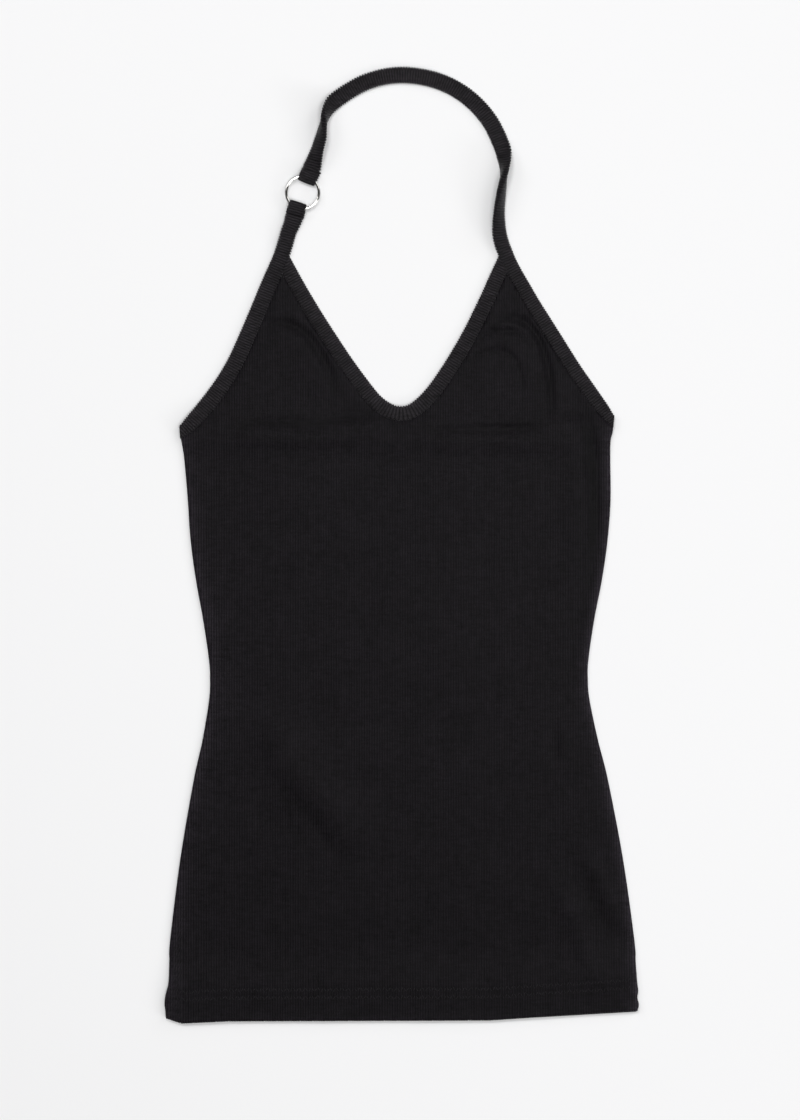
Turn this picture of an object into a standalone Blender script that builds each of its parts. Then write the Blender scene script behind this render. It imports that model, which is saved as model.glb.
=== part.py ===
"""Halter neck top in fine rib knit, laid flat with its front up.

X runs to the right of the garment as it lies, Y runs from the hem towards the
neck strap, and Z is up from the surface that it lies on. The sizes below are
millimetres. The back lies on the surface and the front lies on the back. Above
the back's straight top edge the front lies on the surface itself. Two rib tapes
bind the armholes and run on as the long and the short strap, and each is folded
round a metal ring. The strap turns over by half a turn near both ends of its arc.
"""

import math

import bmesh
import bpy
import numpy as np
from mathutils import Vector
from mathutils.geometry import delaunay_2d_cdt

MM = 0.001
SEAM_GAP = 0.3

# Rib knit
RIB_PITCH = 1.91
RIB_HEIGHT = 0.3
WALL = 1.0
HEM_WALL = 1.9
HEM_DEPTH = 26.0
STEP_RUN = 6.0
EDGE_ROLL = 0.35

# Tapes
NECK_TAPE_WIDTH = 11.0
TAPE_WALL = 2.0
TAPE_RIB_PITCH = 1.95
TAPE_RIB_HEIGHT = 0.3
LOOP_WALL = 1.2
LOOP_RETURN = 9.0
BACK_BAND_TOP = 90.3
BACK_BAND_BOTTOM = 77.8

# Ring
RING_X = -73.8
RING_Y = 263.9
RING_RADIUS = 12.2
WIRE_RADIUS = 1.15
RING_HEIGHT = LOOP_WALL + SEAM_GAP + WIRE_RADIUS

# Side edges: one row for each height, as y, left x, right x
SIDES = [
    (100.0, -166.2, 159.6),
    (86.2, -165.9, 159.2),
    (78.0, -164.6, 157.2),
    (63.7, -162.5, 156.8),
    (33.7, -159.9, 157.0),
    (3.7, -157.8, 154.8),
    (-26.3, -153.8, 150.5),
    (-56.3, -148.4, 144.7),
    (-86.3, -144.0, 140.4),
    (-101.3, -143.2, 140.0),
    (-116.3, -143.9, 141.3),
    (-146.3, -148.8, 147.6),
    (-176.3, -155.4, 155.1),
    (-236.3, -165.6, 166.5),
    (-296.3, -173.1, 174.9),
    (-330.0, -176.0, 177.2),
    (-362.0, -178.4, 178.4),
]

# Lower edge of the hem, as x, y of the front, y of the back
HEM = [
    (-190.0, -351.5, -351.0),
    (-176.3, -354.5, -354.0),
    (-164.3, -358.4, -357.9),
    (-130.0, -356.8, -356.5),
    (66.7, -356.1, -356.1),
    (111.7, -353.0, -353.6),
    (190.0, -348.2, -349.0),
]

# Neck edge from the left strap round the point of the V to the right strap, as x, y
NECK_EDGE = [
    (-88.0, 224.6),
    (-82.9, 215.2),
    (-72.8, 196.7),
    (-60.8, 176.5),
    (-48.8, 157.7),
    (-36.8, 139.7),
    (-24.8, 123.3),
    (-16.0, 112.4),
    (-8.0, 106.2),
    (-1.0, 103.9),
    (6.0, 105.4),
    (14.0, 111.8),
    (23.2, 122.7),
    (35.2, 140.8),
    (47.2, 161.7),
    (59.2, 186.0),
    (65.2, 199.5),
    (72.7, 215.9),
    (76.6, 224.6),
]

# Middle line of the right armhole tape and long strap, from under the arm to its fold
# round the ring: x, y, roll about its length in degrees, width, wall, height of its
# underside
LONG_TAPE = [
    (168.0, 81.0, 0, 6.4, 2.0, 0.0),
    (161.6, 88.9, 0, 7.4, 2.0, 0.0),
    (155.5, 96.5, 0, 8.4, 2.0, 0.0),
    (150.4, 103.2, 0, 9.8, 2.0, 0.0),
    (139.2, 118.5, 0, 10.4, 2.0, 0.0),
    (129.6, 132.2, 0, 10.6, 2.0, 0.0),
    (118.2, 150.2, 0, 10.6, 2.0, 0.0),
    (109.2, 164.5, 0, 10.6, 2.0, 0.0),
    (99.5, 179.9, 0, 10.6, 2.0, 0.0),
    (91.7, 193.2, 0, 10.6, 2.0, 0.0),
    (83.6, 207.4, 0, 10.6, 2.0, 0.0),
    (78.9, 217.2, 5, 11.0, 2.0, 0.0),
    (75.4, 226.0, 18, 11.8, 2.0, 0.0),
    (73.4, 235.9, 32, 12.2, 2.2, 0.0),
    (73.2, 249.7, 52, 12.2, 2.8, 0.0),
    (74.5, 262.0, 66, 12.2, 3.6, 0.0),
    (76.1, 272.2, 84, 12.2, 4.2, 0.0),
    (77.2, 281.6, 113, 12.2, 3.4, 0.0),
    (77.1, 290.5, 148, 12.2, 2.4, 0.0),
    (75.2, 299.7, 174, 12.2, 2.0, 0.0),
    (66.8, 317.2, 180, 12.2, 2.0, 0.0),
    (53.6, 332.6, 180, 12.2, 2.0, 0.0),
    (36.0, 344.4, 180, 12.2, 2.0, 0.0),
    (15.4, 350.9, 180, 12.2, 2.0, 0.0),
    (-6.5, 351.9, 180, 12.2, 2.0, 0.0),
    (-27.8, 346.3, 180, 12.2, 2.0, 0.0),
    (-46.4, 335.2, 174, 12.2, 2.0, 0.0),
    (-54.3, 326.8, 136, 12.2, 2.4, 0.0),
    (-58.5, 316.6, 90, 12.2, 4.2, 0.0),
    (-60.7, 305.2, 50, 12.2, 2.8, 0.0),
    (-63.1, 295.6, 38, 12.2, 2.2, 0.0),
    (-65.2, 287.6, 16, 12.6, 1.6, 0.7),
    (-66.9, 282.4, 2, 13.2, 1.2, 1.6),
    (-69.1, 276.8, 0, 12.8, 1.2, 4.1),
    (-70.4, 273.6, 0, 12.4, 1.2, 4.1),
]
LONG_FOLD = (-71.4, 271.1)

# Middle line of the left armhole tape and short strap, with the same columns
SHORT_TAPE = [
    (-171.0, 78.4, 0, 6.0, 2.0, 0.0),
    (-163.8, 85.3, 0, 8.4, 2.0, 0.0),
    (-157.4, 91.3, 0, 10.8, 2.0, 0.0),
    (-145.7, 105.0, 0, 11.8, 2.0, 0.0),
    (-134.3, 120.4, 0, 11.8, 2.0, 0.0),
    (-125.0, 135.9, 0, 11.8, 2.0, 0.0),
    (-117.8, 151.2, 0, 11.8, 2.0, 0.0),
    (-111.2, 166.4, 0, 11.8, 2.0, 0.0),
    (-104.9, 181.4, 0, 11.8, 2.0, 0.0),
    (-98.7, 196.3, 0, 11.8, 2.0, 0.0),
    (-92.3, 210.6, 0, 11.8, 2.0, 0.0),
    (-89.4, 217.8, 0, 11.8, 2.0, 0.0),
    (-86.8, 225.7, 8, 11.8, 2.0, 0.0),
    (-84.2, 234.7, 8, 11.8, 1.9, 0.0),
    (-81.9, 240.2, 4, 12.4, 1.6, 0.7),
    (-80.3, 245.2, 0, 13.2, 1.2, 1.6),
    (-78.6, 251.0, 0, 12.8, 1.2, 4.1),
    (-77.6, 254.4, 0, 12.4, 1.2, 4.1),
]
SHORT_FOLD = (-76.8, 257.0)

# Soft folds that stand up from the front: half width, then the crest as x, y, height
HIP_FOLD = (9.0, [
    (-108.0, -143.0, 0.0),
    (-98.0, -158.0, 0.7),
    (-84.0, -178.0, 0.9),
    (-61.0, -204.0, 0.9),
    (-48.0, -228.0, 0.6),
    (-43.0, -240.0, 0.0),
])
LEFT_BUST_FOLD = (6.0, [
    (-101.0, 157.0, 0.0),
    (-92.0, 165.0, 0.6),
    (-82.0, 167.5, 0.7),
    (-70.0, 158.0, 0.7),
    (-59.0, 141.0, 0.6),
    (-52.0, 118.0, 0.0),
])
RIGHT_BUST_FOLD = (6.0, [
    (76.0, 169.0, 0.0),
    (86.0, 171.5, 0.6),
    (97.0, 165.0, 0.7),
    (106.0, 148.0, 0.6),
    (112.0, 122.0, 0.0),
])
FOLDS = (HIP_FOLD, LEFT_BUST_FOLD, RIGHT_BUST_FOLD)

# Colours, linear
BLACK_KNIT = (0.011, 0.010, 0.012, 1.0)
BRIGHT_METAL = (0.78, 0.77, 0.75, 1.0)


def clear_scene():
    for old in list(bpy.data.objects):
        bpy.data.objects.remove(old, do_unlink=True)


def finish_material(name, colour, roughness, metallic):
    material = bpy.data.materials.new(name)
    material.use_nodes = True
    shader = material.node_tree.nodes["Principled BSDF"]
    shader.inputs["Base Color"].default_value = colour
    shader.inputs["Roughness"].default_value = roughness
    shader.inputs["Metallic"].default_value = metallic
    material.diffuse_color = colour
    return material


# Lines in the plane

def smooth_line(rows, step):
    """Points about a step apart on a smooth curve through the rows, all columns alike."""
    rows = [np.array(row, dtype=float) for row in rows]
    before = 2 * rows[0] - rows[1]
    after = 2 * rows[-1] - rows[-2]
    knots = [before] + rows + [after]
    points = [rows[0]]
    for a, b, c, d in zip(knots, knots[1:], knots[2:], knots[3:]):
        count = max(1, round(float(np.hypot(*(c - b)[:2])) / step))
        for k in range(1, count + 1):
            t = k / count
            bend = (2 * a - 5 * b + 4 * c - d) * t ** 2 + (3 * b - a - 3 * c + d) * t ** 3
            points.append(b + ((c - a) * t + bend) / 2)
    return points


def run_lengths(points):
    """How far along the line each point lies."""
    lengths = [0.0]
    for a, b in zip(points, points[1:]):
        lengths.append(lengths[-1] + float(np.hypot(*(b - a)[:2])))
    return lengths


def even_line(rows, pitch):
    """The smooth curve through the rows, with its points exactly one pitch apart."""
    points = smooth_line(rows, pitch / 3)
    lengths = run_lengths(points)
    count = int(lengths[-1] / pitch)
    table = np.array(points)
    places = [k * pitch for k in range(count + 1)]
    columns = [np.interp(places, lengths, table[:, c]) for c in range(table.shape[1])]
    return [np.array(row) for row in zip(*columns)]


def directions(points):
    """Unit direction of the line at each point."""
    found = []
    for k in range(len(points)):
        a = points[max(0, k - 1)]
        b = points[min(len(points) - 1, k + 1)]
        run = (b - a)[:2]
        found.append(run / np.hypot(*run))
    return found


def offset_line(points, distance):
    """The line moved sideways, to its left where the distance is positive."""
    moved = []
    for point, along in zip(points, directions(points)):
        moved.append(point[:2] + distance * np.array([-along[1], along[0]]))
    return moved


def tape_edge(rows, side):
    """The line a seam's gap beyond a tape's edge: side is 1 for its left, -1 its right."""
    points = smooth_line(rows, 1.0)
    moved = []
    for point, along in zip(points, directions(points)):
        reach = side * (point[3] / 2 + SEAM_GAP)
        moved.append(point[:2] + reach * np.array([-along[1], along[0]]))
    return moved


def crossing(line_a, line_b):
    """Where the first line last crosses the second: segment of each, and the point."""
    for i in reversed(range(len(line_a) - 1)):
        a = line_a[i]
        b = line_a[i + 1]
        for j, (c, d) in enumerate(zip(line_b, line_b[1:])):
            r = (b - a)[:2]
            s = (d - c)[:2]
            cross = r[0] * s[1] - r[1] * s[0]
            if abs(cross) < 1e-12:
                continue
            gap = (c - a)[:2]
            t = (gap[0] * s[1] - gap[1] * s[0]) / cross
            u = (gap[0] * r[1] - gap[1] * r[0]) / cross
            if 0 <= t < 1 and 0 <= u < 1:
                return i, j, a[:2] + t * r
    raise ValueError("the lines do not cross")


def joined(line_a, line_b):
    """The first line up to where it crosses the second, and the second from there on."""
    i, j, corner = crossing(line_a, line_b)
    start = [point[:2] for point in line_a[: i + 1]]
    end = [point[:2] for point in line_b[j + 1:]]
    return start + [corner] + end


def thinned(points, slack):
    """Fewer points on the same line, none further than the slack from it."""
    if len(points) < 3:
        return list(points)
    a = points[0]
    b = points[-1]
    run = b - a
    length = np.hypot(*run)
    if length < 1e-9:
        off = [np.hypot(*(p - a)) for p in points]
    else:
        off = [abs(run[0] * (p - a)[1] - run[1] * (p - a)[0]) / length for p in points]
    worst = int(np.argmax(off))
    if off[worst] <= slack:
        return [a, b]
    return thinned(points[: worst + 1], slack)[:-1] + thinned(points[worst:], slack)


# Heights

def hem_edge(x, column=1):
    """Height of the hem's lower edge: column 1 is the front, column 2 the back."""
    table = np.array(HEM)
    return float(np.interp(x, table[:, 0], table[:, column]))


def step_rows(x):
    """Heights, from the hem up, at which what lies under the front steps up or down."""
    fold_top = hem_edge(x) + HEM_DEPTH
    return [
        fold_top,
        fold_top + STEP_RUN,
        BACK_BAND_BOTTOM - STEP_RUN,
        BACK_BAND_BOTTOM,
        BACK_BAND_TOP,
        BACK_BAND_TOP + STEP_RUN,
    ]


def rest_height(x, y):
    """Height of what lies under the front: the back, its hem and its binding, or nothing."""
    hem = HEM_WALL + SEAM_GAP
    back = WALL + SEAM_GAP
    band = TAPE_WALL + SEAM_GAP
    return float(np.interp(y, step_rows(x), [hem, back, back, band, band, 0.0]))


def wall_at(x, y):
    """One layer of cloth, or two where the hem is turned up inside."""
    fold_top = hem_edge(x) + HEM_DEPTH
    return float(np.interp(y, [fold_top, fold_top + STEP_RUN], [HEM_WALL, WALL]))


def nearest_crest(x, y, crest):
    """How far the point is from a fold's crest, and how high the crest stands there."""
    best = (1e9, 0.0)
    for (ax, ay, a_high), (bx, by, b_high) in zip(crest, crest[1:]):
        run = (bx - ax) ** 2 + (by - ay) ** 2
        t = min(1.0, max(0.0, ((x - ax) * (bx - ax) + (y - ay) * (by - ay)) / run))
        away = math.hypot(ax + t * (bx - ax) - x, ay + t * (by - ay) - y)
        best = min(best, (away, a_high + t * (b_high - a_high)))
    return best


def fold_height(x, y):
    """How far the soft folds lift the front here."""
    total = 0.0
    for half_width, crest in FOLDS:
        away, height = nearest_crest(x, y, crest)
        total += height * max(0.0, 1 - away / half_width)
    return total


# Closed walls

def wall_between(bm, upper, lower, length):
    """Close the space between two rims, each a loop of (place along the rim, vertex)."""
    upper = sorted(upper, key=lambda row: row[0])
    lower = sorted(lower, key=lambda row: row[0])
    upper.append((upper[0][0] + length, upper[0][1]))
    lower.append((lower[0][0] + length, lower[0][1]))
    i = 0
    j = 0
    while i < len(upper) - 1 or j < len(lower) - 1:
        step_upper = j == len(lower) - 1
        if i < len(upper) - 1 and not step_upper:
            step_upper = upper[i + 1][0] <= lower[j + 1][0]
        if step_upper:
            bm.faces.new((upper[i][1], upper[i + 1][1], lower[j][1]))
            i += 1
        else:
            bm.faces.new((lower[j][1], upper[i][1], lower[j + 1][1]))
            j += 1


def object_from(bm, name, material, collection):
    bmesh.ops.recalc_face_normals(bm, faces=bm.faces)
    mesh = bpy.data.meshes.new(name)
    bm.to_mesh(mesh)
    bm.free()
    mesh.materials.append(material)
    piece = bpy.data.objects.new(name, mesh)
    collection.objects.link(piece)
    return piece


def at_column(outline, x):
    """Where an upright line at x crosses the outline: segment, share along it, y."""
    found = []
    for k, a in enumerate(outline):
        b = outline[(k + 1) % len(outline)]
        if (a[0] < x) != (b[0] < x):
            t = (x - a[0]) / (b[0] - a[0])
            found.append((k, t, a[1] + t * (b[1] - a[1])))
    return sorted(found, key=lambda row: row[2])


def at_steps(outline):
    """Where the outline crosses the rows at which the cloth steps up or down."""
    found = []
    for k, a in enumerate(outline):
        b = outline[(k + 1) % len(outline)]
        for row_a, row_b in zip(step_rows(a[0]), step_rows(b[0])):
            above_a = a[1] - row_a
            above_b = b[1] - row_b
            if above_a * above_b < 0:
                t = above_a / (above_a - above_b)
                found.append((k, t, a + t * (b - a)))
    return found


def is_inside(outline, x, y):
    below = [row for row in at_column(outline, x) if row[2] < y]
    return len(below) % 2 == 1


def row_edges(outline, flat):
    """Pairs of points that follow one another along each step row, inside the panel."""
    pairs = []
    slack = 0.02
    for row in range(len(step_rows(0.0))):
        on_row = []
        for k, point in enumerate(flat):
            if abs(point.y - step_rows(point.x)[row]) < slack:
                on_row.append((point.x, k))
        on_row.sort()
        for (x, k), (next_x, next_k) in zip(on_row, on_row[1:]):
            middle = (x + next_x) / 2
            if is_inside(outline, middle, step_rows(middle)[row]):
                pairs.append((k, next_k))
    return pairs


def is_sharp(outline, k):
    """True where the outline turns sharply at its own point k."""
    a = outline[k] - outline[k - 1]
    b = outline[(k + 1) % len(outline)] - outline[k]
    turn = abs(math.atan2(a[0] * b[1] - a[1] * b[0], float(np.dot(a, b))))
    return turn > math.radians(25)


def rim_points(outline, columns):
    """Points round a panel's rim as (place, x, y, on a crest), and its upright chords."""
    runs = run_lengths(outline + [outline[0]])
    shortest_chord = 0.7
    added = []
    chords = []
    for x, crest in columns:
        cuts = at_column(outline, x)
        for low, high in zip(cuts[::2], cuts[1::2]):
            if high[2] - low[2] < shortest_chord:
                continue
            for k, t, y in (low, high):
                added.append((runs[k] + t * (runs[k + 1] - runs[k]), x, y, crest))
            chords.append((x, low[2], high[2], crest))
    too_close = 0.15

    def crowded(x, y):
        return any(math.hypot(x - row[1], y - row[2]) < too_close for row in added)

    rim = list(added)
    for k, t, point in at_steps(outline):
        if not crowded(point[0], point[1]):
            rim.append((runs[k] + t * (runs[k + 1] - runs[k]), point[0], point[1], False))
    for k, point in enumerate(outline):
        if is_sharp(outline, k) or not crowded(point[0], point[1]):
            rim.append((runs[k], point[0], point[1], False))
    return sorted(rim), chords, runs[-1]


def panel_sheet(bm, outline, columns, row_heights, height):
    """One face of a panel, from its outline, its upright lines and its rows.

    Each upright line is (x, on a rib's crest). Returns the rim as (place, vertex) and
    its length.
    """
    rim, chords, length = rim_points(outline, columns)
    clear_of_edge = 0.7
    flat = [Vector((row[1], row[2])) for row in rim]
    crests = [row[3] for row in rim]
    rim_at = {(row[1], row[2]): k for k, row in enumerate(rim)}
    edges = []
    for x, low, high, crest in chords:
        before = rim_at[(x, low)]
        for y in row_heights(x):
            if low + clear_of_edge < y < high - clear_of_edge:
                flat.append(Vector((x, y)))
                crests.append(crest)
                edges.append((before, len(flat) - 1))
                before = len(flat) - 1
        edges.append((before, rim_at[(x, high)]))
    edges += row_edges(outline, flat)
    loop = list(range(len(rim)))
    corners, _, faces, sources, _, _ = delaunay_2d_cdt(flat, edges, [loop], 1, 1e-6)
    vertices = []
    rim_vertex = {}
    for corner, source in zip(corners, sources):
        first = source[0] if source else None
        crest = crests[first] if source else False
        on_rim = bool(source) and first < len(rim)
        z = height(corner.x, corner.y, crest, on_rim)
        vertices.append(bm.verts.new(Vector((corner.x, corner.y, z))))
        for one in source:
            rim_vertex[one] = vertices[-1]
    for face in faces:
        bm.faces.new([vertices[k] for k in face])
    return [(row[0], rim_vertex[k]) for k, row in enumerate(rim)], length


def scale_to_metres(bm):
    bmesh.ops.scale(bm, vec=(MM, MM, MM), verts=bm.verts)


# Panels

def side_line(side, inset):
    """A side edge from the underarm down to the hem: side is 1 for left, 2 for right."""
    inward = 1 if side == 1 else -1
    rows = [(row[side] + inward * inset, row[0]) for row in SIDES]
    return smooth_line(rows, 2.0)


def hem_line(column):
    return [np.array([row[0], row[column]], dtype=float) for row in HEM]


def front_outline():
    """Round the front: hem, right side, right armhole, neck, left armhole, left side."""
    hem = hem_line(1)
    right_side = side_line(2, 0.0)[::-1]
    right_armhole = tape_edge(LONG_TAPE[:13], 1)
    neck = offset_line(smooth_line(NECK_EDGE, 2.0)[::-1], NECK_TAPE_WIDTH + SEAM_GAP)
    left_armhole = tape_edge(SHORT_TAPE[:13], -1)[::-1]
    left_side = side_line(1, 0.0)
    line = joined(hem, right_side)
    line = joined(line, right_armhole)
    line = joined(line, neck)
    line = joined(line, left_armhole)
    line = joined(line, left_side)
    i, j, corner = crossing(line[len(line) // 2:], line[:12])
    i += len(line) // 2
    return [corner] + [point[:2] for point in line[j + 1: i + 1]]


def rib_columns(left, right):
    """Upright lines on the crests and in the grooves of the ribs."""
    half = RIB_PITCH / 2
    first = math.ceil((left + 0.2) / half)
    last = math.floor((right - 0.2) / half)
    return [(k * half, k % 2 == 0) for k in range(first, last + 1)]


def fold_rows(x):
    """Heights where an upright line at x meets the crest and the feet of each fold."""
    rows = []
    for half_width, crest in FOLDS:
        points = smooth_line(crest, 3.0)
        for side in (-half_width, 0.0, half_width):
            edge = offset_line(points, side)
            for a, b in zip(edge, edge[1:]):
                if (a[0] < x) != (b[0] < x):
                    t = (x - a[0]) / (b[0] - a[0])
                    rows.append(a[1] + t * (b[1] - a[1]))
                    break
    return rows


def front_rows(x):
    rows = step_rows(x)
    rows += [-240.0, -160.0, -95.0, -30.0]
    rows += fold_rows(x)
    rows.sort()
    apart = [rows[0]]
    for y in rows[1:]:
        if y - apart[-1] > 1.5:
            apart.append(y)
    return apart


def front_top(x, y, crest, on_rim):
    height = rest_height(x, y) + wall_at(x, y) + fold_height(x, y)
    if crest:
        height += RIB_HEIGHT
    if on_rim:
        height -= EDGE_ROLL * 0.5
    return height


def front_under(x, y, crest, on_rim):
    return rest_height(x, y)


def make_front(material, collection):
    """The front: ribs raised on its outer face, plain inside, hem turned up."""
    outline = front_outline()
    left = min(point[0] for point in outline)
    right = max(point[0] for point in outline)
    bm = bmesh.new()
    fine = thinned(outline + [outline[0]], 0.08)[:-1]
    upper, length = panel_sheet(bm, fine, rib_columns(left, right), front_rows, front_top)
    coarse_columns = [(x, False) for x in np.linspace(left + 3, right - 3, 15)]
    lower, length = panel_sheet(bm, fine, coarse_columns, step_rows, front_under)
    wall_between(bm, upper, lower, length)
    scale_to_metres(bm)
    return object_from(bm, "front_panel", material, collection)


def back_outline():
    """Round the back: hem, right side, straight top under its binding, left side."""
    top = BACK_BAND_BOTTOM - SEAM_GAP
    hem = hem_line(2)
    right_side = side_line(2, 0.5)[::-1]
    top_line = [np.array([200.0, top]), np.array([-200.0, top])]
    line = joined(joined(joined(hem, right_side), top_line), side_line(1, 0.5))
    i, j, corner = crossing(line[len(line) // 2:], line[:12])
    i += len(line) // 2
    return [corner] + [point[:2] for point in line[j + 1: i + 1]]


def back_top(x, y, crest, on_rim):
    return wall_at(x, y)


def flat_under(x, y, crest, on_rim):
    return 0.0


def make_back(material, collection):
    """The back: plain, flat on the surface, hem turned up inside."""
    outline = back_outline()
    outline = thinned(outline + [outline[0]], 0.15)[:-1]
    left = min(point[0] for point in outline)
    right = max(point[0] for point in outline)
    columns = [(x, False) for x in np.linspace(left + 3, right - 3, 9)]
    bm = bmesh.new()
    upper, length = panel_sheet(bm, outline, columns, step_rows, back_top)
    lower, length = panel_sheet(bm, outline, [], step_rows, flat_under)
    wall_between(bm, upper, lower, length)
    scale_to_metres(bm)
    return object_from(bm, "back_panel", material, collection)


# Tapes

def tape_ring(row, along, crest, both_faces):
    """Four corners of a tape's section: under left, under right, top left, top right."""
    x, y, roll, width, wall, lift = row
    left = Vector((-along[1], along[0], 0.0))
    turn = math.radians(roll)
    across = left * math.cos(turn) + Vector((0, 0, math.sin(turn)))
    face = Vector((0, 0, math.cos(turn))) - left * math.sin(turn)
    raised = TAPE_RIB_HEIGHT if crest else 0.0
    half = width / 2 + (0.4 * raised if both_faces else 0.0)
    full = wall / 2 + TAPE_RIB_HEIGHT / 2
    reach = abs(math.sin(turn)) * (width / 2 + 0.4 * TAPE_RIB_HEIGHT) + abs(math.cos(turn)) * full
    middle = Vector((x, y, max(0.0, lift) + reach))
    if both_faces:
        up = wall / 2 + raised / 2
        down = up
    else:
        up = full - TAPE_RIB_HEIGHT + raised
        down = full
    corners = [
        middle + across * half - face * down,
        middle - across * half - face * down,
        middle + across * half + face * up,
        middle - across * half + face * up,
    ]
    if not both_faces:
        rest = max(rest_height(corner.x, corner.y) for corner in corners)
        for corner in corners:
            corner.z += rest
    return corners


def fold_rings(last_row, fold, under_turn):
    """The tape's end, taken round the ring's wire and back under itself."""
    start = np.array(last_row[:2])
    along = np.array(fold) - start
    along = along / np.hypot(*along)
    bend = WIRE_RADIUS + SEAM_GAP + LOOP_WALL / 2
    centre = np.array(fold) - along * (bend + LOOP_WALL / 2)
    half = last_row[3] / 2
    stations = []
    turns = 8
    for k in range(turns + 1):
        angle = math.pi * k / turns
        place = centre + along * bend * math.sin(angle)
        stations.append((place, RING_HEIGHT + bend * math.cos(angle), angle, half - 0.5))
    steps = round(LOOP_RETURN / (TAPE_RIB_PITCH / 2))
    for k in range(1, steps + 1):
        place = centre - along * LOOP_RETURN * k / steps
        stations.append((place, RING_HEIGHT - bend, math.pi, half))
    left = Vector((-along[1], along[0], 0.0))
    ahead = Vector((along[0], along[1], 0.0))
    rings = []
    for k, (place, height, angle, reach) in enumerate(stations):
        middle = Vector((place[0], place[1], height))
        face = Vector((0, 0, math.cos(angle))) + ahead * math.sin(angle)
        slip = left * under_turn * max(0, k - turns) / steps
        wall = LOOP_WALL / 2
        rings.append([
            middle + slip + left * reach - face * wall,
            middle + slip - left * reach - face * wall,
            middle + slip + left * reach + face * wall,
            middle + slip - left * reach + face * wall,
        ])
    return rings


def loft_tape(name, rings, plain_until, material, collection):
    """A closed tape through its sections, its underside plain up to the given one."""
    bm = bmesh.new()
    last = len(rings) - 1
    under_at = {0, last}
    for k, ring in enumerate(rings):
        climbs = max(ring[0].z, ring[1].z) > 0.001
        if k >= plain_until or climbs or k % 8 == 0:
            under_at.update((max(0, k - 1), k) if climbs else (k,))
    under_at = sorted(under_at)
    tops = []
    for ring in rings:
        tops.append((bm.verts.new(ring[2]), bm.verts.new(ring[3])))
    unders = {}
    for k in under_at:
        unders[k] = (bm.verts.new(rings[k][0]), bm.verts.new(rings[k][1]))
    for a, b in zip(tops, tops[1:]):
        bm.faces.new((a[0], a[1], b[1], b[0]))
    for i, j in zip(under_at, under_at[1:]):
        bm.faces.new((unders[i][1], unders[i][0], unders[j][0], unders[j][1]))
    length = 2 * last + 2
    upper = [(k, tops[k][0]) for k in range(last + 1)]
    upper += [(length - 1 - k, tops[k][1]) for k in range(last + 1)]
    lower = [(k, unders[k][0]) for k in under_at]
    lower += [(length - 1 - k, unders[k][1]) for k in under_at]
    wall_between(bm, upper, lower, length)
    bmesh.ops.triangulate(bm, faces=bm.faces)
    return bm


def cut_end(bm, point, outward):
    """Cut the piece off square to an outward direction, and close the cut."""
    bmesh.ops.bisect_plane(
        bm,
        geom=bm.verts[:] + bm.edges[:] + bm.faces[:],
        dist=1e-5,
        plane_co=Vector((point[0], point[1], 0.0)),
        plane_no=Vector((outward[0], outward[1], 0.0)),
        clear_outer=True,
    )
    bmesh.ops.remove_doubles(bm, verts=bm.verts, dist=0.005)
    edges = [edge for edge in bm.edges if edge.is_boundary]
    bmesh.ops.triangle_fill(bm, use_beauty=True, edges=edges)
    bmesh.ops.dissolve_degenerate(bm, dist=0.002, edges=bm.edges)
    bmesh.ops.triangulate(bm, faces=bm.faces)


def tape_rings(rows, both_from):
    """Sections half a rib apart along a tape: its free stretch has ribs on both faces."""
    stations = even_line(rows, TAPE_RIB_PITCH / 2)
    rings = []
    free_at = None
    for k, (row, along) in enumerate(zip(stations, directions(stations))):
        free = row[1] > both_from
        if free and free_at is None:
            free_at = k
        rings.append(tape_ring(row, along, k % 2 == 0, free))
    return rings, free_at or len(rings)


def underarm_cut(side):
    """Point and outward direction of the side fold where an armhole tape turns under."""
    line = side_line(side, 0.0)
    top = line[0]
    low = line[10]
    run = (low - top)[:2]
    run = run / np.hypot(*run)
    out = np.array([-run[1], run[0]])
    if (out[0] > 0) != (side == 2):
        out = -out
    reach = max(float(np.dot(point[:2] - top[:2], out)) for point in line[:11])
    return top[:2] + out * reach, out


def make_strap_tape(name, rows, fold, side, under_turn, material, collection):
    """An armhole tape that runs on as a strap and is folded round the ring."""
    strap_starts = 217.0
    rings, free_at = tape_rings(rows, strap_starts)
    rings += fold_rings(rows[-1], fold, under_turn)
    bm = loft_tape(name, rings, free_at, material, collection)
    point, out = underarm_cut(side)
    cut_end(bm, point, out)
    scale_to_metres(bm)
    return object_from(bm, name, material, collection)


def beside_tape(rows, low, high, side):
    """A straight cut beside a tape's edge between two heights: point and outward."""
    edge = tape_edge(rows, side)
    near = [point for point in edge if low < point[1] < high]
    run = near[-1] - near[0]
    run = run / np.hypot(*run)
    out = np.array([-run[1], run[0]]) * -side
    depth = min(float(np.dot(point - near[0], out)) for point in near)
    return near[0] + out * depth, out


def make_neck_binding(material, collection):
    """The V neck tape, its ends cut to lie along the two armhole tapes."""
    line = even_line(NECK_EDGE, TAPE_RIB_PITCH / 2)
    middle = offset_line(line, -NECK_TAPE_WIDTH / 2)
    rings = []
    for k, (place, along) in enumerate(zip(middle, directions(middle))):
        row = (place[0], place[1], 0, NECK_TAPE_WIDTH, TAPE_WALL, 0.0)
        rings.append(tape_ring(row, along, k % 2 == 0, False))
    bm = loft_tape("neck_binding", rings, len(rings), material, collection)
    tip_low = 196.0
    tip_high = 219.0
    cut_end(bm, *beside_tape(LONG_TAPE[:13], tip_low, tip_high, 1))
    cut_end(bm, *beside_tape(SHORT_TAPE[:13], tip_low, tip_high, -1))
    scale_to_metres(bm)
    return object_from(bm, "neck_binding", material, collection)


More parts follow.
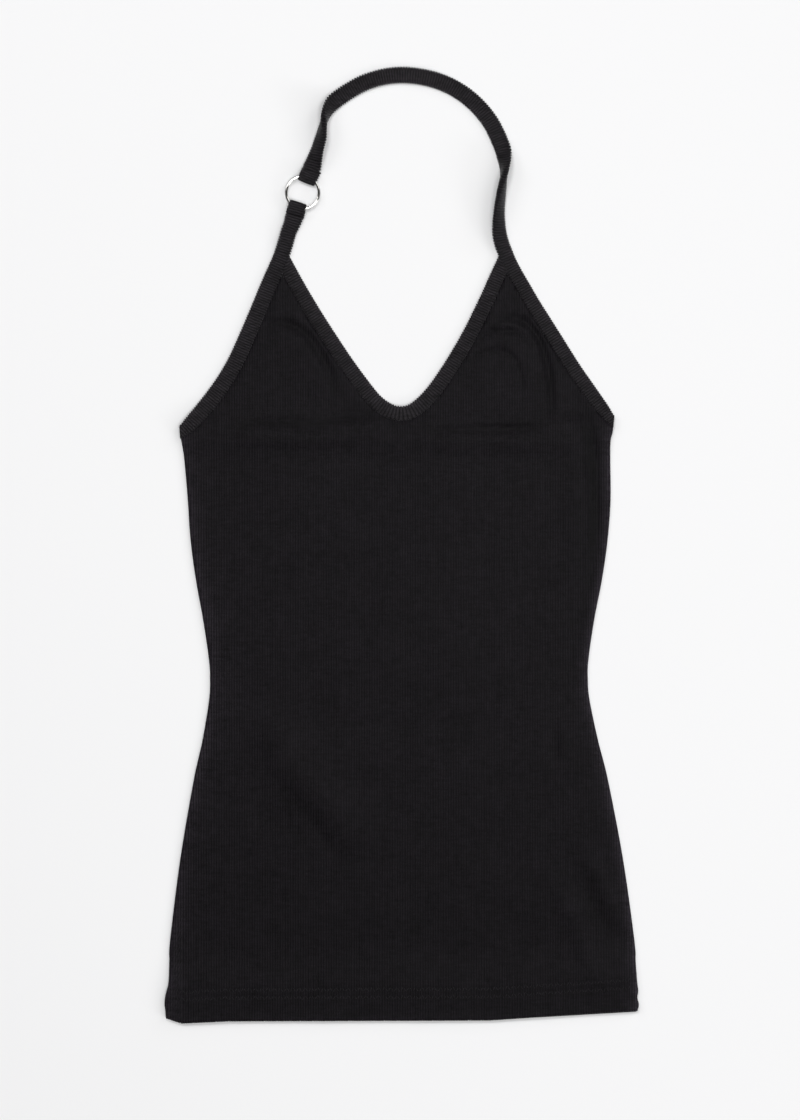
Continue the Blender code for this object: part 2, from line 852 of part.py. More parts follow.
def make_back_binding(material, collection):
    """The tape on the back's top edge, flat under the front from side to side."""
    bm = bmesh.new()
    corners = []
    for x_column, order in ((1, (BACK_BAND_BOTTOM, BACK_BAND_TOP)), (2, (BACK_BAND_TOP, BACK_BAND_BOTTOM))):
        inward = 0.5 if x_column == 1 else -0.5
        heights = [row[0] for row in SIDES][::-1]
        across = [row[x_column] for row in SIDES][::-1]
        for y in order:
            corners.append((float(np.interp(y, heights, across)) + inward, y))
    base = [bm.verts.new((x, y, 0.0)) for x, y in corners]
    face = bm.faces.new(base)
    raised = bmesh.ops.extrude_face_region(bm, geom=[face])
    top = [item for item in raised["geom"] if isinstance(item, bmesh.types.BMVert)]
    bmesh.ops.translate(bm, vec=(0.0, 0.0, TAPE_WALL), verts=top)
    scale_to_metres(bm)
    return object_from(bm, "back_binding", material, collection)


# Ring

def make_ring(material, collection):
    """The wire ring, which lies level between the two layers of each strap loop."""
    bpy.ops.mesh.primitive_torus_add(
        major_segments=40,
        minor_segments=8,
        major_radius=RING_RADIUS * MM,
        minor_radius=WIRE_RADIUS * MM,
        location=(RING_X * MM, RING_Y * MM, RING_HEIGHT * MM),
    )
    ring = bpy.context.object
    ring.name = "ring"
    ring.data.name = "ring"
    ring.data.materials.append(material)
    ring.data.shade_smooth()
    for home in list(ring.users_collection):
        home.objects.unlink(ring)
    collection.objects.link(ring)
    return ring


def build():
    clear_scene()
    parts = bpy.data.collections.new("halter_top")
    bpy.context.scene.collection.children.link(parts)
    knit = finish_material("black_rib_knit", BLACK_KNIT, 0.92, 0.0)
    tape = finish_material("black_rib_tape", BLACK_KNIT, 0.9, 0.0)
    metal = finish_material("bright_metal", BRIGHT_METAL, 0.15, 1.0)
    make_back(knit, parts)
    make_back_binding(tape, parts)
    make_front(knit, parts)
    make_neck_binding(tape, parts)
    make_strap_tape("long_strap_binding", LONG_TAPE, LONG_FOLD, 2, 0.8, tape, parts)
    make_strap_tape("short_strap_binding", SHORT_TAPE, SHORT_FOLD, 1, -0.6, tape, parts)
    make_ring(metal, parts)


build()
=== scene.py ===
"""Halter neck top in black fine rib knit, laid flat on its back.

The sections follow the order in which the top is laid down and put together. Sizes are
millimetres, X to the right as it lies and Y towards the strap.
"""

import math

import bmesh
import bpy
import numpy as np
from mathutils import Euler, Matrix, Vector, noise
from mathutils.geometry import delaunay_2d_cdt


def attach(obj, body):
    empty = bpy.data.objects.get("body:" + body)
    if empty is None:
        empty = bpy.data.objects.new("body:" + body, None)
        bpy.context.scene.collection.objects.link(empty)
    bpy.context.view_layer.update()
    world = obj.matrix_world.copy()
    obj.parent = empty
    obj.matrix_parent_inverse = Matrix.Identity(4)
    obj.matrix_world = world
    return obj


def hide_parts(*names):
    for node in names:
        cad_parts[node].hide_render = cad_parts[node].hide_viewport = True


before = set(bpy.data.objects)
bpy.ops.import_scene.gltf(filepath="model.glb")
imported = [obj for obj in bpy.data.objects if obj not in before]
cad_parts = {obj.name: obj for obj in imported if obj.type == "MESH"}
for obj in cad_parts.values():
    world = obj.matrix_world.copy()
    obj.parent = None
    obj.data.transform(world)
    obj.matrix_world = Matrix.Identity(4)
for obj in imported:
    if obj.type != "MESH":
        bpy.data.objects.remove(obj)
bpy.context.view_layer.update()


# Back panel
# A single layer of fine rib knit, cut with shaped sides and a straight top edge, with
# its ribs running up and down. It lies flat on the surface, its hem turned up inside.

rib_pitch = 1.91
rib_height = 0.32
course = 0.95
knit_wall = 1.0
hem_wall = 1.9
hem_depth = 26.0
hem_run = 24.0
hem_corner = -164.3
piece_gap = 0.3
edge_step = 2.0
crease_step = 4.0
mm = 0.001

side_edges = [
    # height, left edge, right edge
    (100, -166.2, 159.2),
    (86.2, -165.9, 158.8),
    (78, -164.6, 157),
    (63.7, -162.5, 156.8),
    (33.7, -159.9, 157),
    (3.7, -157.8, 154.8),
    (-26.3, -153.8, 150.5),
    (-56.3, -148.4, 144.7),
    (-86.3, -144, 140.4),
    (-101.3, -143.2, 140),
    (-116.3, -143.9, 141.3),
    (-146.3, -148.8, 147.6),
    (-176.3, -155.4, 155.1),
    (-236.3, -165.6, 166.5),
    (-296.3, -173.1, 174.9),
    (-312, -173.7, 175.8),
    (-327.5, -174.2, 176.9),
    (-334, -175.6, 177.7),
    (-339, -176.8, 177),
    (-344.5, -177.2, 178.2),
    (-350, -176.5, 176.9),
    (-362, -175.8, 176),
]

hem_edges = [
    # across, lower edge of the front, lower edge of the back
    (-190, -351.5, -351),
    (-176.3, -354.5, -354),
    (-164.3, -358.4, -357.9),
    (-130, -356.8, -356.5),
    (66.7, -356.1, -356.1),
    (111.7, -353, -353.6),
    (190, -348.2, -349),
]

back_creases = [
    # half width, then the crest as x, y, rise off the surface
    (8, [(-120, -60, 0), (-60, -95, 0.45), (10, -120, 0.35), (60, -150, 0)]),
    (10, [(40, 20, 0), (80, -20, 0.4), (120, -80, 0.4), (135, -120, 0)]),
    (9, [(-130, -230, 0), (-80, -215, 0.4), (-30, -240, 0)]),
    (7, [(-60, 55, 0), (0, 46, 0.3), (60, 57, 0)]),
]

back_binding_low = 77.8
back_inset = 0.6


def smooth_line(rows, step):
    """Points about a step apart on a smooth curve through the rows, all columns alike."""
    rows = [np.array(row, dtype=float) for row in rows]
    knots = [2 * rows[0] - rows[1]] + rows + [2 * rows[-1] - rows[-2]]
    points = [rows[0]]
    for a, b, c, d in zip(knots, knots[1:], knots[2:], knots[3:]):
        count = max(1, round(float(np.hypot(*(c - b)[:2])) / step))
        for k in range(1, count + 1):
            t = k / count
            bend = (2 * a - 5 * b + 4 * c - d) * t ** 2 + (3 * b - a - 3 * c + d) * t ** 3
            points.append(b + ((c - a) * t + bend) / 2)
    return points


def run_lengths(points):
    """How far along the line each point lies."""
    lengths = [0.0]
    for a, b in zip(points, points[1:]):
        lengths.append(lengths[-1] + float(np.hypot(*(b - a)[:2])))
    return lengths


def last_crossing(line_a, line_b):
    """Where the first line last crosses the second: segment of each, and the point."""
    parallel = 1e-12
    for i in reversed(range(len(line_a) - 1)):
        a = line_a[i]
        r = (line_a[i + 1] - a)[:2]
        for j, (c, d) in enumerate(zip(line_b, line_b[1:])):
            s = (d - c)[:2]
            cross = r[0] * s[1] - r[1] * s[0]
            if abs(cross) < parallel:
                continue
            gap = (c - a)[:2]
            t = (gap[0] * s[1] - gap[1] * s[0]) / cross
            u = (gap[0] * r[1] - gap[1] * r[0]) / cross
            if 0 <= t < 1 and 0 <= u < 1:
                return i, j, a[:2] + t * r
    raise ValueError("two edges of a cut piece do not meet")


def joined(line_a, line_b):
    """The first line up to where it crosses the second, and the second from there on."""
    i, j, corner = last_crossing(line_a, line_b)
    return [p[:2] for p in line_a[: i + 1]] + [corner] + [p[:2] for p in line_b[j + 1:]]


def closed_cut(edges):
    """The outline of a cut piece, from edges that cross one another in turn."""
    line = edges[0]
    for edge in edges[1:]:
        line = joined(line, edge)
    half = len(line) // 2
    first_points = 12
    i, j, corner = last_crossing(line[half:], line[:first_points])
    return [corner] + [point[:2] for point in line[j + 1: i + half + 1]]


def side_edge(column, inset):
    """A side from the underarm down to the hem: column 1 is the left, 2 the right."""
    inward = inset if column == 1 else -inset
    return smooth_line([(row[column] + inward, row[0]) for row in side_edges], edge_step)


def hem_edge(column):
    return [np.array([row[0], row[column]], dtype=float) for row in hem_edges]


def hem_height(x, column=1):
    table = np.array(hem_edges)
    return np.interp(x, table[:, 0], table[:, column])


def rib_columns(left, right, shares):
    """Upright lines at the given shares of every rib."""
    first = math.floor(left / rib_pitch)
    last = math.ceil(right / rib_pitch)
    columns = [(rib + share) * rib_pitch for rib in range(first, last) for share in shares]
    clear_of_side = 0.2
    return [x for x in columns if left + clear_of_side < x < right - clear_of_side]


def cloth_rows(above_hem, heights):
    """Rows across a panel: some a set way above its hem, and some at set heights."""
    lowest = hem_height(hem_corner)
    follows_below = lowest + hem_depth + 12.0
    straight_above = -230.0
    rows = [lowest + rise for rise in above_hem] + list(heights)
    table = np.array(sorted(rows))
    follow = np.interp(table, [follows_below, straight_above], [1.0, 0.0])

    def at(x):
        return table + follow * (hem_height(x) - lowest)

    return at


def knit_face(outline, columns, rows_at):
    """One face of a cut piece: points, triangles, and its rim as (place, point number)."""
    shortest_chord = 0.7
    sharp_turn = 0.4
    squares_each = 4
    clear_of_edge = 0.6
    runs = run_lengths(outline + [outline[0]])
    around = list(zip(range(len(outline)), outline, outline[1:] + [outline[0]]))
    rim = []
    chords = []
    for x in columns:
        cuts = []
        for k, a, b in around:
            if (a[0] < x) != (b[0] < x):
                t = (x - a[0]) / (b[0] - a[0])
                cuts.append((a[1] + t * (b[1] - a[1]), runs[k] + t * (runs[k + 1] - runs[k])))
        cuts.sort()
        for low, high in zip(cuts[::2], cuts[1::2]):
            if high[0] - low[0] > shortest_chord:
                rim += [(low[1], x, low[0]), (high[1], x, high[0])]
                chords.append((x, low[0], high[0]))

    def square(x, y):
        return round(x * squares_each), round(y * squares_each)

    taken = {square(x, y) for _, x, y in rim}

    for k, a, b in around:
        above_a = a[1] - rows_at(a[0])
        above_b = b[1] - rows_at(b[0])
        for high_a, high_b in zip(above_a, above_b):
            if high_a * high_b < 0:
                t = high_a / (high_a - high_b)
                x, y = a + t * (b - a)
                if square(x, y) not in taken:
                    rim.append((runs[k] + t * (runs[k + 1] - runs[k]), x, y))
        before = a - outline[k - 1]
        turn = math.atan2(before[0] * (b - a)[1] - before[1] * (b - a)[0], before @ (b - a))
        if abs(turn) > sharp_turn or square(a[0], a[1]) not in taken:
            rim.append((runs[k], a[0], a[1]))
    rim.sort()
    inner = []
    for x, low, high in chords:
        ys = rows_at(x)
        for y in ys[(ys > low + clear_of_edge) & (ys < high - clear_of_edge)]:
            inner.append((x, y))
    flat = [Vector((x, y)) for _, x, y in rim] + [Vector(point) for point in inner]
    only_inside = 1
    merge_within = 1e-6
    found = delaunay_2d_cdt(flat, [], [list(range(len(rim)))], only_inside, merge_within)
    corners, _, faces, sources = found[:4]
    number = {}
    for k, source in enumerate(sources):
        for one in source:
            number[one] = k
    places = [(row[0], number[k]) for k, row in enumerate(rim)]
    return np.array([(c.x, c.y) for c in corners]), faces, places, runs[-1]


def rim_wall(upper, lower, length):
    """Triangles that close the space between two rims."""
    rims = []
    for rim in (sorted(upper), sorted(lower)):
        rims.append(rim + [(rim[0][0] + length, rim[0][1])])
    steps = [(place, side, k) for side, rim in enumerate(rims) for place, k in rim[1:]]
    high, low = rims[0][0][1], rims[1][0][1]
    faces = []
    for _, side, k in sorted(steps):
        if side == 0:
            faces.append((k, high, low))
            high = k
        else:
            faces.append((high, low, k))
            low = k
    return faces


def soft_piece(name, mesh, finish):
    """A piece of the top from its mesh."""
    mesh.materials.append(finish)
    mesh.shade_smooth()
    piece = bpy.data.objects.new(name, mesh)
    bpy.context.scene.collection.objects.link(piece)
    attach(piece, "top")
    return piece


def cloth_piece(name, points, faces, knit_map, painted_light_and_shade, finish, node):
    """A piece of knit, with its map of ribs and courses and its share of painted light and shade.
    """
    mesh = bpy.data.meshes.new(name)
    mesh.from_pydata((np.array(points) * mm).tolist(), [], faces)
    layer = mesh.uv_layers.new(name="knit_map")
    corner_points = np.empty(len(mesh.loops), dtype=np.int32)
    mesh.loops.foreach_get("vertex_index", corner_points)
    layer.data.foreach_set("uv", np.array(knit_map, dtype=np.float32)[corner_points].ravel())
    # Painted light and shade of each point, read by the finish.
    tones = mesh.attributes.new("painted_light_and_shade", "FLOAT", "POINT")
    tones.data.foreach_set("value", np.array(painted_light_and_shade, dtype=np.float32))
    mesh.validate()
    piece = soft_piece(name, mesh, finish)
    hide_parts(node)
    return piece


def panel_piece(name, upper, lower, upper_z, lower_z, painted_light_and_shade, node):
    """A cut panel between two faces, each as knit_face gives it, at the given heights."""
    top_points, top_faces, top_rim, length = upper
    low_points, low_faces, low_rim, _ = lower
    start = len(top_points)
    flat = np.vstack([top_points, low_points])
    points = np.column_stack([flat, np.concatenate([upper_z, lower_z])])
    faces = [tuple(face) for face in top_faces]
    faces += [tuple(start + k for k in face[::-1]) for face in low_faces]
    faces += rim_wall(top_rim, [(place, start + k) for place, k in low_rim], length)
    knit_map = flat / (rib_pitch, course)
    painted_light_and_shade = np.concatenate([painted_light_and_shade, np.zeros(len(low_points))])
    return cloth_piece(name, points, faces, knit_map, painted_light_and_shade, body_knit, node)


def rib_wave(ribs, flatness=4.0):
    """Height of the ribs after so many ribs: 1 on a crest and 0 in a groove."""
    away = np.abs((ribs + 0.5) % 1.0 - 0.5) * 2
    return 1 - away ** flatness


def away_from(points, line):
    """Distance of every point from a line, and what share of its run that is at."""
    shortest = 1e-9
    nearest = np.full(len(points), np.inf)
    share = np.zeros(len(points))
    for k, (a, b) in enumerate(zip(line, line[1:])):
        run = (b - a)[:2]
        t = np.clip(((points - a[:2]) @ run) / max(shortest, run @ run), 0, 1)
        away = np.hypot(*(a[:2] + t[:, None] * run - points).T)
        closer = away < nearest
        nearest[closer] = away[closer]
        share[closer] = k + t[closer]
    return nearest, share


def crease_rise(points, creases):
    """How far the soft creases of a table lift or sink the cloth."""
    total = np.zeros(len(points))
    for half_width, crest in creases:
        line = smooth_line(crest, crease_step)
        away, share = away_from(points, line)
        rises = np.interp(share, np.arange(len(line)), [point[2] for point in line])
        total += rises * np.exp(-((away / half_width) ** 2))
    return total


def wall_of(x, y, column):
    above = y - hem_height(x, column)
    return np.interp(above, [hem_depth, hem_depth + hem_run], [hem_wall, knit_wall])


def set_inputs(node, values):
    """The node, with its named inputs set."""
    for name, value in values.items():
        node.inputs[name].default_value = value
    return node


def new_finish(name, values):
    """A finish, with its nodes, its links and its shader."""
    finish = bpy.data.materials.new(name)
    finish.use_nodes = True
    nodes = finish.node_tree.nodes
    shader = set_inputs(nodes["Principled BSDF"], values)
    return finish, nodes, finish.node_tree.links, shader


def blend(nodes, links, low, high, share):
    """A colour between two others, by a share that another node gives."""
    mix = nodes.new("ShaderNodeMix")
    mix.data_type = "RGBA"
    set_inputs(mix, {"A": low, "B": high})
    links.new(share, mix.inputs["Factor"])
    return mix.outputs["Result"]


def rib_knit_finish(name, groove_shade_colour, crest, gloss, sheen, rib_share):
    """Matt black cotton and elastane rib knit: V stitches on every rib, painted shade in the gaps.

    One rib differs from the next by the share given, and the whole cloth is lightened or
    darkened by its piece's painted light and shade.
    """
    fibre_share = 2.5
    slub_share = 1.9
    cloud_share = 0.55
    darkest = 0.15
    stitch_lean = 1.3
    between_stitches = 0.6
    fibre_relief = 0.8
    finish, nodes, links, shader = new_finish(name, {
        "Roughness": 0.42,
        "Specular IOR Level": gloss,
        "Sheen Weight": sheen,
        "Sheen Roughness": 0.35,
    })
    place = nodes.new("ShaderNodeTexCoord").outputs["Object"]
    knit_map = nodes.new("ShaderNodeUVMap")
    knit_map.uv_map = "knit_map"

    def maths(operation, first, second=None):
        node = nodes.new("ShaderNodeMath")
        node.operation = operation
        for socket, value in zip(node.inputs, (first, second)):
            if isinstance(value, (int, float)):
                socket.default_value = value
            elif value is not None:
                links.new(value, socket)
        return node.outputs[0]

    def mottle(where, scale, detail):
        stretched = set_inputs(nodes.new("ShaderNodeMapping"), {"Scale": scale})
        links.new(where, stretched.inputs["Vector"])
        texture = set_inputs(nodes.new("ShaderNodeTexNoise"), {"Scale": 1.0, "Detail": detail})
        links.new(stretched.outputs["Vector"], texture.inputs["Vector"])
        return texture.outputs["Fac"]

    split = nodes.new("ShaderNodeSeparateXYZ")
    links.new(knit_map.outputs["UV"], split.inputs[0])
    across = maths("SUBTRACT", maths("FRACT", maths("ADD", split.outputs[0], 0.5)), 0.5)
    from_crest = maths("ABSOLUTE", across)
    crown = maths("SUBTRACT", 1.0, maths("POWER", maths("MULTIPLY", from_crest, 2.0), 2.0))
    leaning = maths("ADD", split.outputs[1], maths("MULTIPLY", from_crest, stitch_lean))
    stitch = maths("ABSOLUTE", maths("SINE", maths("MULTIPLY", leaning, math.pi)))
    fibres = mottle(place, (1400.0, 1400.0, 1400.0), 3.0)
    slubs = mottle(place, (150.0, 560.0, 150.0), 3.0)
    clouds = mottle(place, (30.0, 44.0, 30.0), 2.0)
    rib_tone = mottle(knit_map.outputs["UV"], (1.7, 0.03, 1.0), 2.0)

    stitched = maths("MULTIPLY", stitch, 1.0 - between_stitches)
    stitched = maths("ADD", between_stitches, stitched)
    # Painted shade: grooves between the ribs and gaps between the stitches take the darker colour.
    shade = blend(nodes, links, groove_shade_colour, crest, maths("MULTIPLY", crown, stitched))

    mottle_and_painted_light = maths("MULTIPLY", fibres, fibre_share)
    for texture, share in ((slubs, slub_share), (clouds, cloud_share), (rib_tone, rib_share)):
        mottle_and_painted_light = maths("ADD", mottle_and_painted_light, maths("MULTIPLY", texture, share))
    middling = (fibre_share + slub_share + cloud_share + rib_share) / 2 - 1.0
    mottle_and_painted_light = maths("MAXIMUM", maths("SUBTRACT", mottle_and_painted_light, middling), darkest)
    # Painted light and shade: the piece's attribute lightens or darkens the whole cloth.
    painted_light_and_shade = nodes.new("ShaderNodeAttribute")
    painted_light_and_shade.attribute_name = "painted_light_and_shade"
    mottle_and_painted_light = maths("MULTIPLY", mottle_and_painted_light, maths("ADD", painted_light_and_shade.outputs["Fac"], 1.0))
    toned = nodes.new("ShaderNodeVectorMath")
    toned.operation = "SCALE"
    links.new(shade, toned.inputs[0])
    links.new(mottle_and_painted_light, toned.inputs["Scale"])
    links.new(toned.outputs["Vector"], shader.inputs["Base Color"])

    relief = maths("ADD", stitch, maths("MULTIPLY", fibres, fibre_relief))
    bump = set_inputs(nodes.new("ShaderNodeBump"), {"Strength": 0.5, "Distance": 0.00022})
    links.new(relief, bump.inputs["Height"])
    links.new(bump.outputs["Normal"], shader.inputs["Normal"])
    return finish


body_knit = rib_knit_finish(
    "black_rib_knit",
    # groove colour: painted shade between the ribs
    groove_shade_colour=(0.0016, 0.0013, 0.0018, 1.0),
    crest=(0.0079, 0.0066, 0.0084, 1.0),
    gloss=0.062,
    sheen=0.10,
    rib_share=1.0,
)

back_top = back_binding_low - piece_gap
beyond_sides = 200.0
back_cut = closed_cut([
    hem_edge(2),
    side_edge(2, back_inset)[::-1],
    [np.array([beyond_sides, back_top]), np.array([-beyond_sides, back_top])],
    side_edge(1, back_inset),
])
back_left = min(point[0] for point in back_cut)
back_right = max(point[0] for point in back_cut)
rib_shares = (0, 0.3, 0.5, 0.7)
back_columns = rib_columns(back_left, back_right, rib_shares)
back_rows = cloth_rows([0.6, 1.6, 18.75, 25.0, 29.0], np.linspace(-318, 72, 56))
back_under = knit_face(back_cut, back_columns, back_rows)
inside_from_side = 4.0
inside_columns = np.arange(back_left + inside_from_side, back_right - inside_from_side, 12.0)
inside_rows = cloth_rows([1.0, hem_depth], np.linspace(-308, 70, 14))
back_inside = knit_face(back_cut, inside_columns, inside_rows)
under_points = back_under[0]
under_z = rib_height * (1 - rib_wave(under_points[:, 0] / rib_pitch))
under_z += crease_rise(under_points, back_creases)
inside_points = back_inside[0]
inside_z = wall_of(inside_points[:, 0], inside_points[:, 1], 2)
even_tone = np.zeros(len(inside_points))
back = panel_piece("back", back_inside, back_under, inside_z, under_z, even_tone, "back_panel")


# Back binding
# Rib tape folded over the straight top edge of the back. Only a hair of it shows,
# where the front's underarm seams pass over it.

back_binding_high = 90.3
tape_wall = 2.0
tape_cloth = 0.7
tape_rib_pitch = 1.95
tape_rib_height = 0.45
tape_rib_flatness = 2.2
tape_scallop = 0.8
free_scallop = 1.3
stitch_line = 0.62
stitch_sink = 0.22

tape_quarter = [
    # across, up, as shares of the half width and the half thickness
    (1.0, 0.0),
    (0.97, 0.4),
    (0.88, 0.68),
    (0.74, 0.84),
    (0.62, 0.91),
    (0.5, 0.95),
    (0.0, 1.0),
]
tape_arch = [(-side, up) for side, up in tape_quarter] + tape_quarter[-2::-1]
tape_section = tape_arch + [(side, -up) for side, up in tape_arch[-2:0:-1]]


def tube_faces(start, rings, around):
    """The faces between neighbouring rings of points, facing out."""
    faces = []
    for a in range(start, start + (rings - 1) * around, around):
        for m in range(around):
            n = (m + 1) % around
            faces.append((a + m, a + n, a + around + n, a + around + m))
    return faces


def folded_tape(name, stations, node, sewn):
    """A tape folded in two: a flattened tube of cloth along the given stations.

    A station is its middle, the directions across and out of its face, its half width
    and half thickness, how many ribs along it lies, and whether it is free of the
    panels. The stitches that close the fold sink a line near the sewn side, 1 left or
    -1 right. Painted light lightens the folded side opposite, and painted shade darkens
    the sewn side.
    """
    mean_crest = 0.6
    pressed_rib = 0.35
    # Painted light and shade across the tape: darker towards the sewn side, lighter towards the
    # fold, and a painted highlight along the fold.
    across_painted_light = 0.16
    fold_painted_highlight = 0.8
    fold_from = 0.5
    least_hollow = 0.12
    inner_ease = 0.3
    inner_every = 6
    around = len(tape_section)
    points = []
    knit_map = []
    painted_light_and_shade = []
    for middle, across, face, half_width, half_wall, ribs, free in stations:
        crest = float(rib_wave(ribs, tape_rib_flatness))
        scallop = free_scallop if free else tape_scallop
        wide = half_width + scallop * (crest - mean_crest)
        for side, up in tape_section:
            rise = crest if up >= 0 or free else pressed_rib
            thick = half_wall + tape_rib_height * (rise - 0.5)
            if side * sewn == stitch_line:
                thick -= stitch_sink
            points.append(middle + across * side * wide + face * up * thick)
            knit_map.append((ribs, (side * half_width + up * half_wall) / course))
            to_fold = -side * sewn
            painted_light_and_shade.append(across_painted_light * to_fold + fold_painted_highlight * max(0.0, to_fold - fold_from))
    outer = len(points)
    inner_at = sorted(set(range(0, len(stations), inner_every)) | {len(stations) - 1})
    for k in inner_at:
        middle, across, face, half_width, half_wall, ribs, _ = stations[k]
        hollow = half_width - tape_cloth - inner_ease
        deep = max(least_hollow, half_wall - tape_rib_height / 2 - tape_cloth)
        for side, up in tape_section:
            points.append(middle + across * side * hollow + face * up * deep)
            knit_map.append((ribs, side * half_width / course))
            painted_light_and_shade.append(0.0)
    faces = tube_faces(0, len(stations), around)
    faces += [(b, a, d, c) for a, b, c, d in tube_faces(outer, len(inner_at), around)]
    last_outer = outer - around
    last_inner = len(points) - around
    for m in range(around):
        n = (m + 1) % around
        faces.append((outer + m, outer + n, n, m))
        faces.append((last_outer + m, last_outer + n, last_inner + n, last_inner + m))
    return cloth_piece(name, points, faces, knit_map, painted_light_and_shade, tape_knit, node)


tape_knit = rib_knit_finish(
    "black_rib_tape",
    # groove colour: painted shade between the ribs
    groove_shade_colour=(0.0022, 0.0018, 0.0023, 1.0),
    crest=(0.0196, 0.0172, 0.0200, 1.0),
    gloss=0.085,
    sheen=0.12,
    rib_share=0.4,
)

binding_middle = (back_binding_low + back_binding_high) / 2
half_binding = (back_binding_high - back_binding_low) / 2
binding_end = 1.2
binding_ease = 0.15
binding_each = 4
heights, left_sides, right_sides = np.array(side_edges[::-1]).T
binding_left = float(np.interp(binding_middle, heights, left_sides)) + binding_end
binding_right = float(np.interp(binding_middle, heights, right_sides)) - binding_end
binding_stations = []
for x in np.arange(binding_left, binding_right, tape_rib_pitch / binding_each):
    binding_stations.append((
        Vector((x, binding_middle, tape_wall / 2)),
        Vector((0, 1, 0)),
        Vector((0, 0, 1)),
        half_binding - binding_ease,
        tape_wall / 2 - binding_ease,
        x / tape_rib_pitch,
        True,
    ))
back_top_tape = folded_tape("back_top_binding", binding_stations, "back_binding", -1)


# Front panel
# One cut of the same rib knit with a V neck and slanting armholes. It lies on the back,
# rolls down to it at the side seams, and carries the soft creases of laid cloth.

neck_edge = [
    (-88, 224.6),
    (-82.9, 215.2),
    (-72.8, 196.7),
    (-60.8, 176.5),
    (-48.8, 157.7),
    (-36.8, 139.7),
    (-24.8, 123.3),
    (-16, 112.4),
    (-8, 106.2),
    (-1, 103.9),
    (6, 105.4),
    (14, 111.8),
    (23.2, 122.7),
    (35.2, 140.8),
    (47.2, 161.7),
    (59.2, 186),
    (65.2, 199.5),
    (72.7, 215.9),
    (76.6, 224.6),
]
neck_tape_width = 11.0
step_run = 12.0

long_tape = [
    # x, y, roll about its length in degrees, width, wall, height of its underside
    (168, 81, 0, 4.6, 2, 0),
    (161.6, 88.9, 0, 5.8, 2, 0),
    (155.5, 96.5, 0, 7.6, 2, 0),
    (150.4, 103.2, 0, 9.4, 2, 0),
    (139.2, 118.5, 0, 10.4, 2, 0),
    (129.6, 132.2, 0, 10.6, 2, 0),
    (118.2, 150.2, 0, 10.6, 2, 0),
    (109.2, 164.5, 0, 10.6, 2, 0),
    (99.5, 179.9, 0, 10.6, 2, 0),
    (91.7, 193.2, 0, 10.6, 2, 0),
    (83.6, 207.4, 0, 10.6, 2, 0),
    (78.9, 217.2, 5, 11, 2, 0),
    (75.4, 226, 18, 11.8, 2, 0),
    (73.4, 235.9, 32, 12.2, 2.2, 0),
    (73.4, 249.7, 52, 12.2, 3.4, 0),
    (74.8, 262, 66, 12.2, 4.6, 0),
    (76.4, 272.2, 84, 12.2, 5.3, 0),
    (77.4, 281.6, 113, 12.2, 4.4, 0),
    (77.2, 290.5, 148, 12.2, 2.9, 0),
    (75.2, 299.7, 174, 12.2, 2, 0),
    (66.8, 317.2, 180, 12.2, 2, 0),
    (53.6, 332.6, 180, 12.2, 2, 0),
    (36, 344.4, 180, 12.2, 2, 0),
    (15.4, 350.9, 180, 12.2, 2, 0),
    (-6.5, 351.9, 180, 12.2, 2, 0),
    (-27.8, 346.3, 180, 12.2, 2, 0),
    (-46.4, 335.2, 174, 12.2, 2, 0),
    (-53.9, 326.8, 136, 12.2, 3, 0),
    (-57.8, 316.6, 90, 12.2, 5.3, 0),
    (-60, 305.2, 50, 12.2, 3.7, 0),
    (-62.8, 295.6, 38, 12.2, 2.6, 0),
    (-65.2, 287.6, 16, 12.6, 1.6, 0.7),
    (-66.9, 282.4, 2, 13.6, 1.2, 1.6),
    (-69.1, 276.8, 0, 13.6, 1.2, 4.1),
    (-70.4, 273.6, 0, 13.6, 1.2, 4.1),
]
long_fold = (-71.4, 271.1)

short_tape = [
    # the same columns
    (-171, 78.4, 0, 6, 2, 0),
    (-163.8, 85.3, 0, 8.4, 2, 0),
    (-157.4, 91.3, 0, 10.8, 2, 0),
    (-145.7, 105, 0, 11.8, 2, 0),
    (-134.3, 120.4, 0, 11.8, 2, 0),
    (-125, 135.9, 0, 11.8, 2, 0),
    (-117.8, 151.2, 0, 11.8, 2, 0),
    (-111.2, 166.4, 0, 11.8, 2, 0),
    (-104.9, 181.4, 0, 11.8, 2, 0),
    (-98.7, 196.3, 0, 11.8, 2, 0),
    (-92.3, 210.6, 0, 11.8, 2, 0),
    (-89.4, 217.8, 0, 11.8, 2, 0),
    (-86.8, 225.7, 8, 11.8, 2, 0),
    (-84.2, 234.7, 8, 11.8, 1.9, 0),
    (-81.9, 240.2, 4, 12.4, 1.6, 0.7),
    (-80.3, 245.2, 0, 13.6, 1.2, 1.6),
    (-78.6, 251, 0, 13.4, 1.2, 4.1),
    (-77.6, 254.4, 0, 13.4, 1.2, 4.1),
]
short_fold = (-76.8, 257.0)
sewn_rows = 13

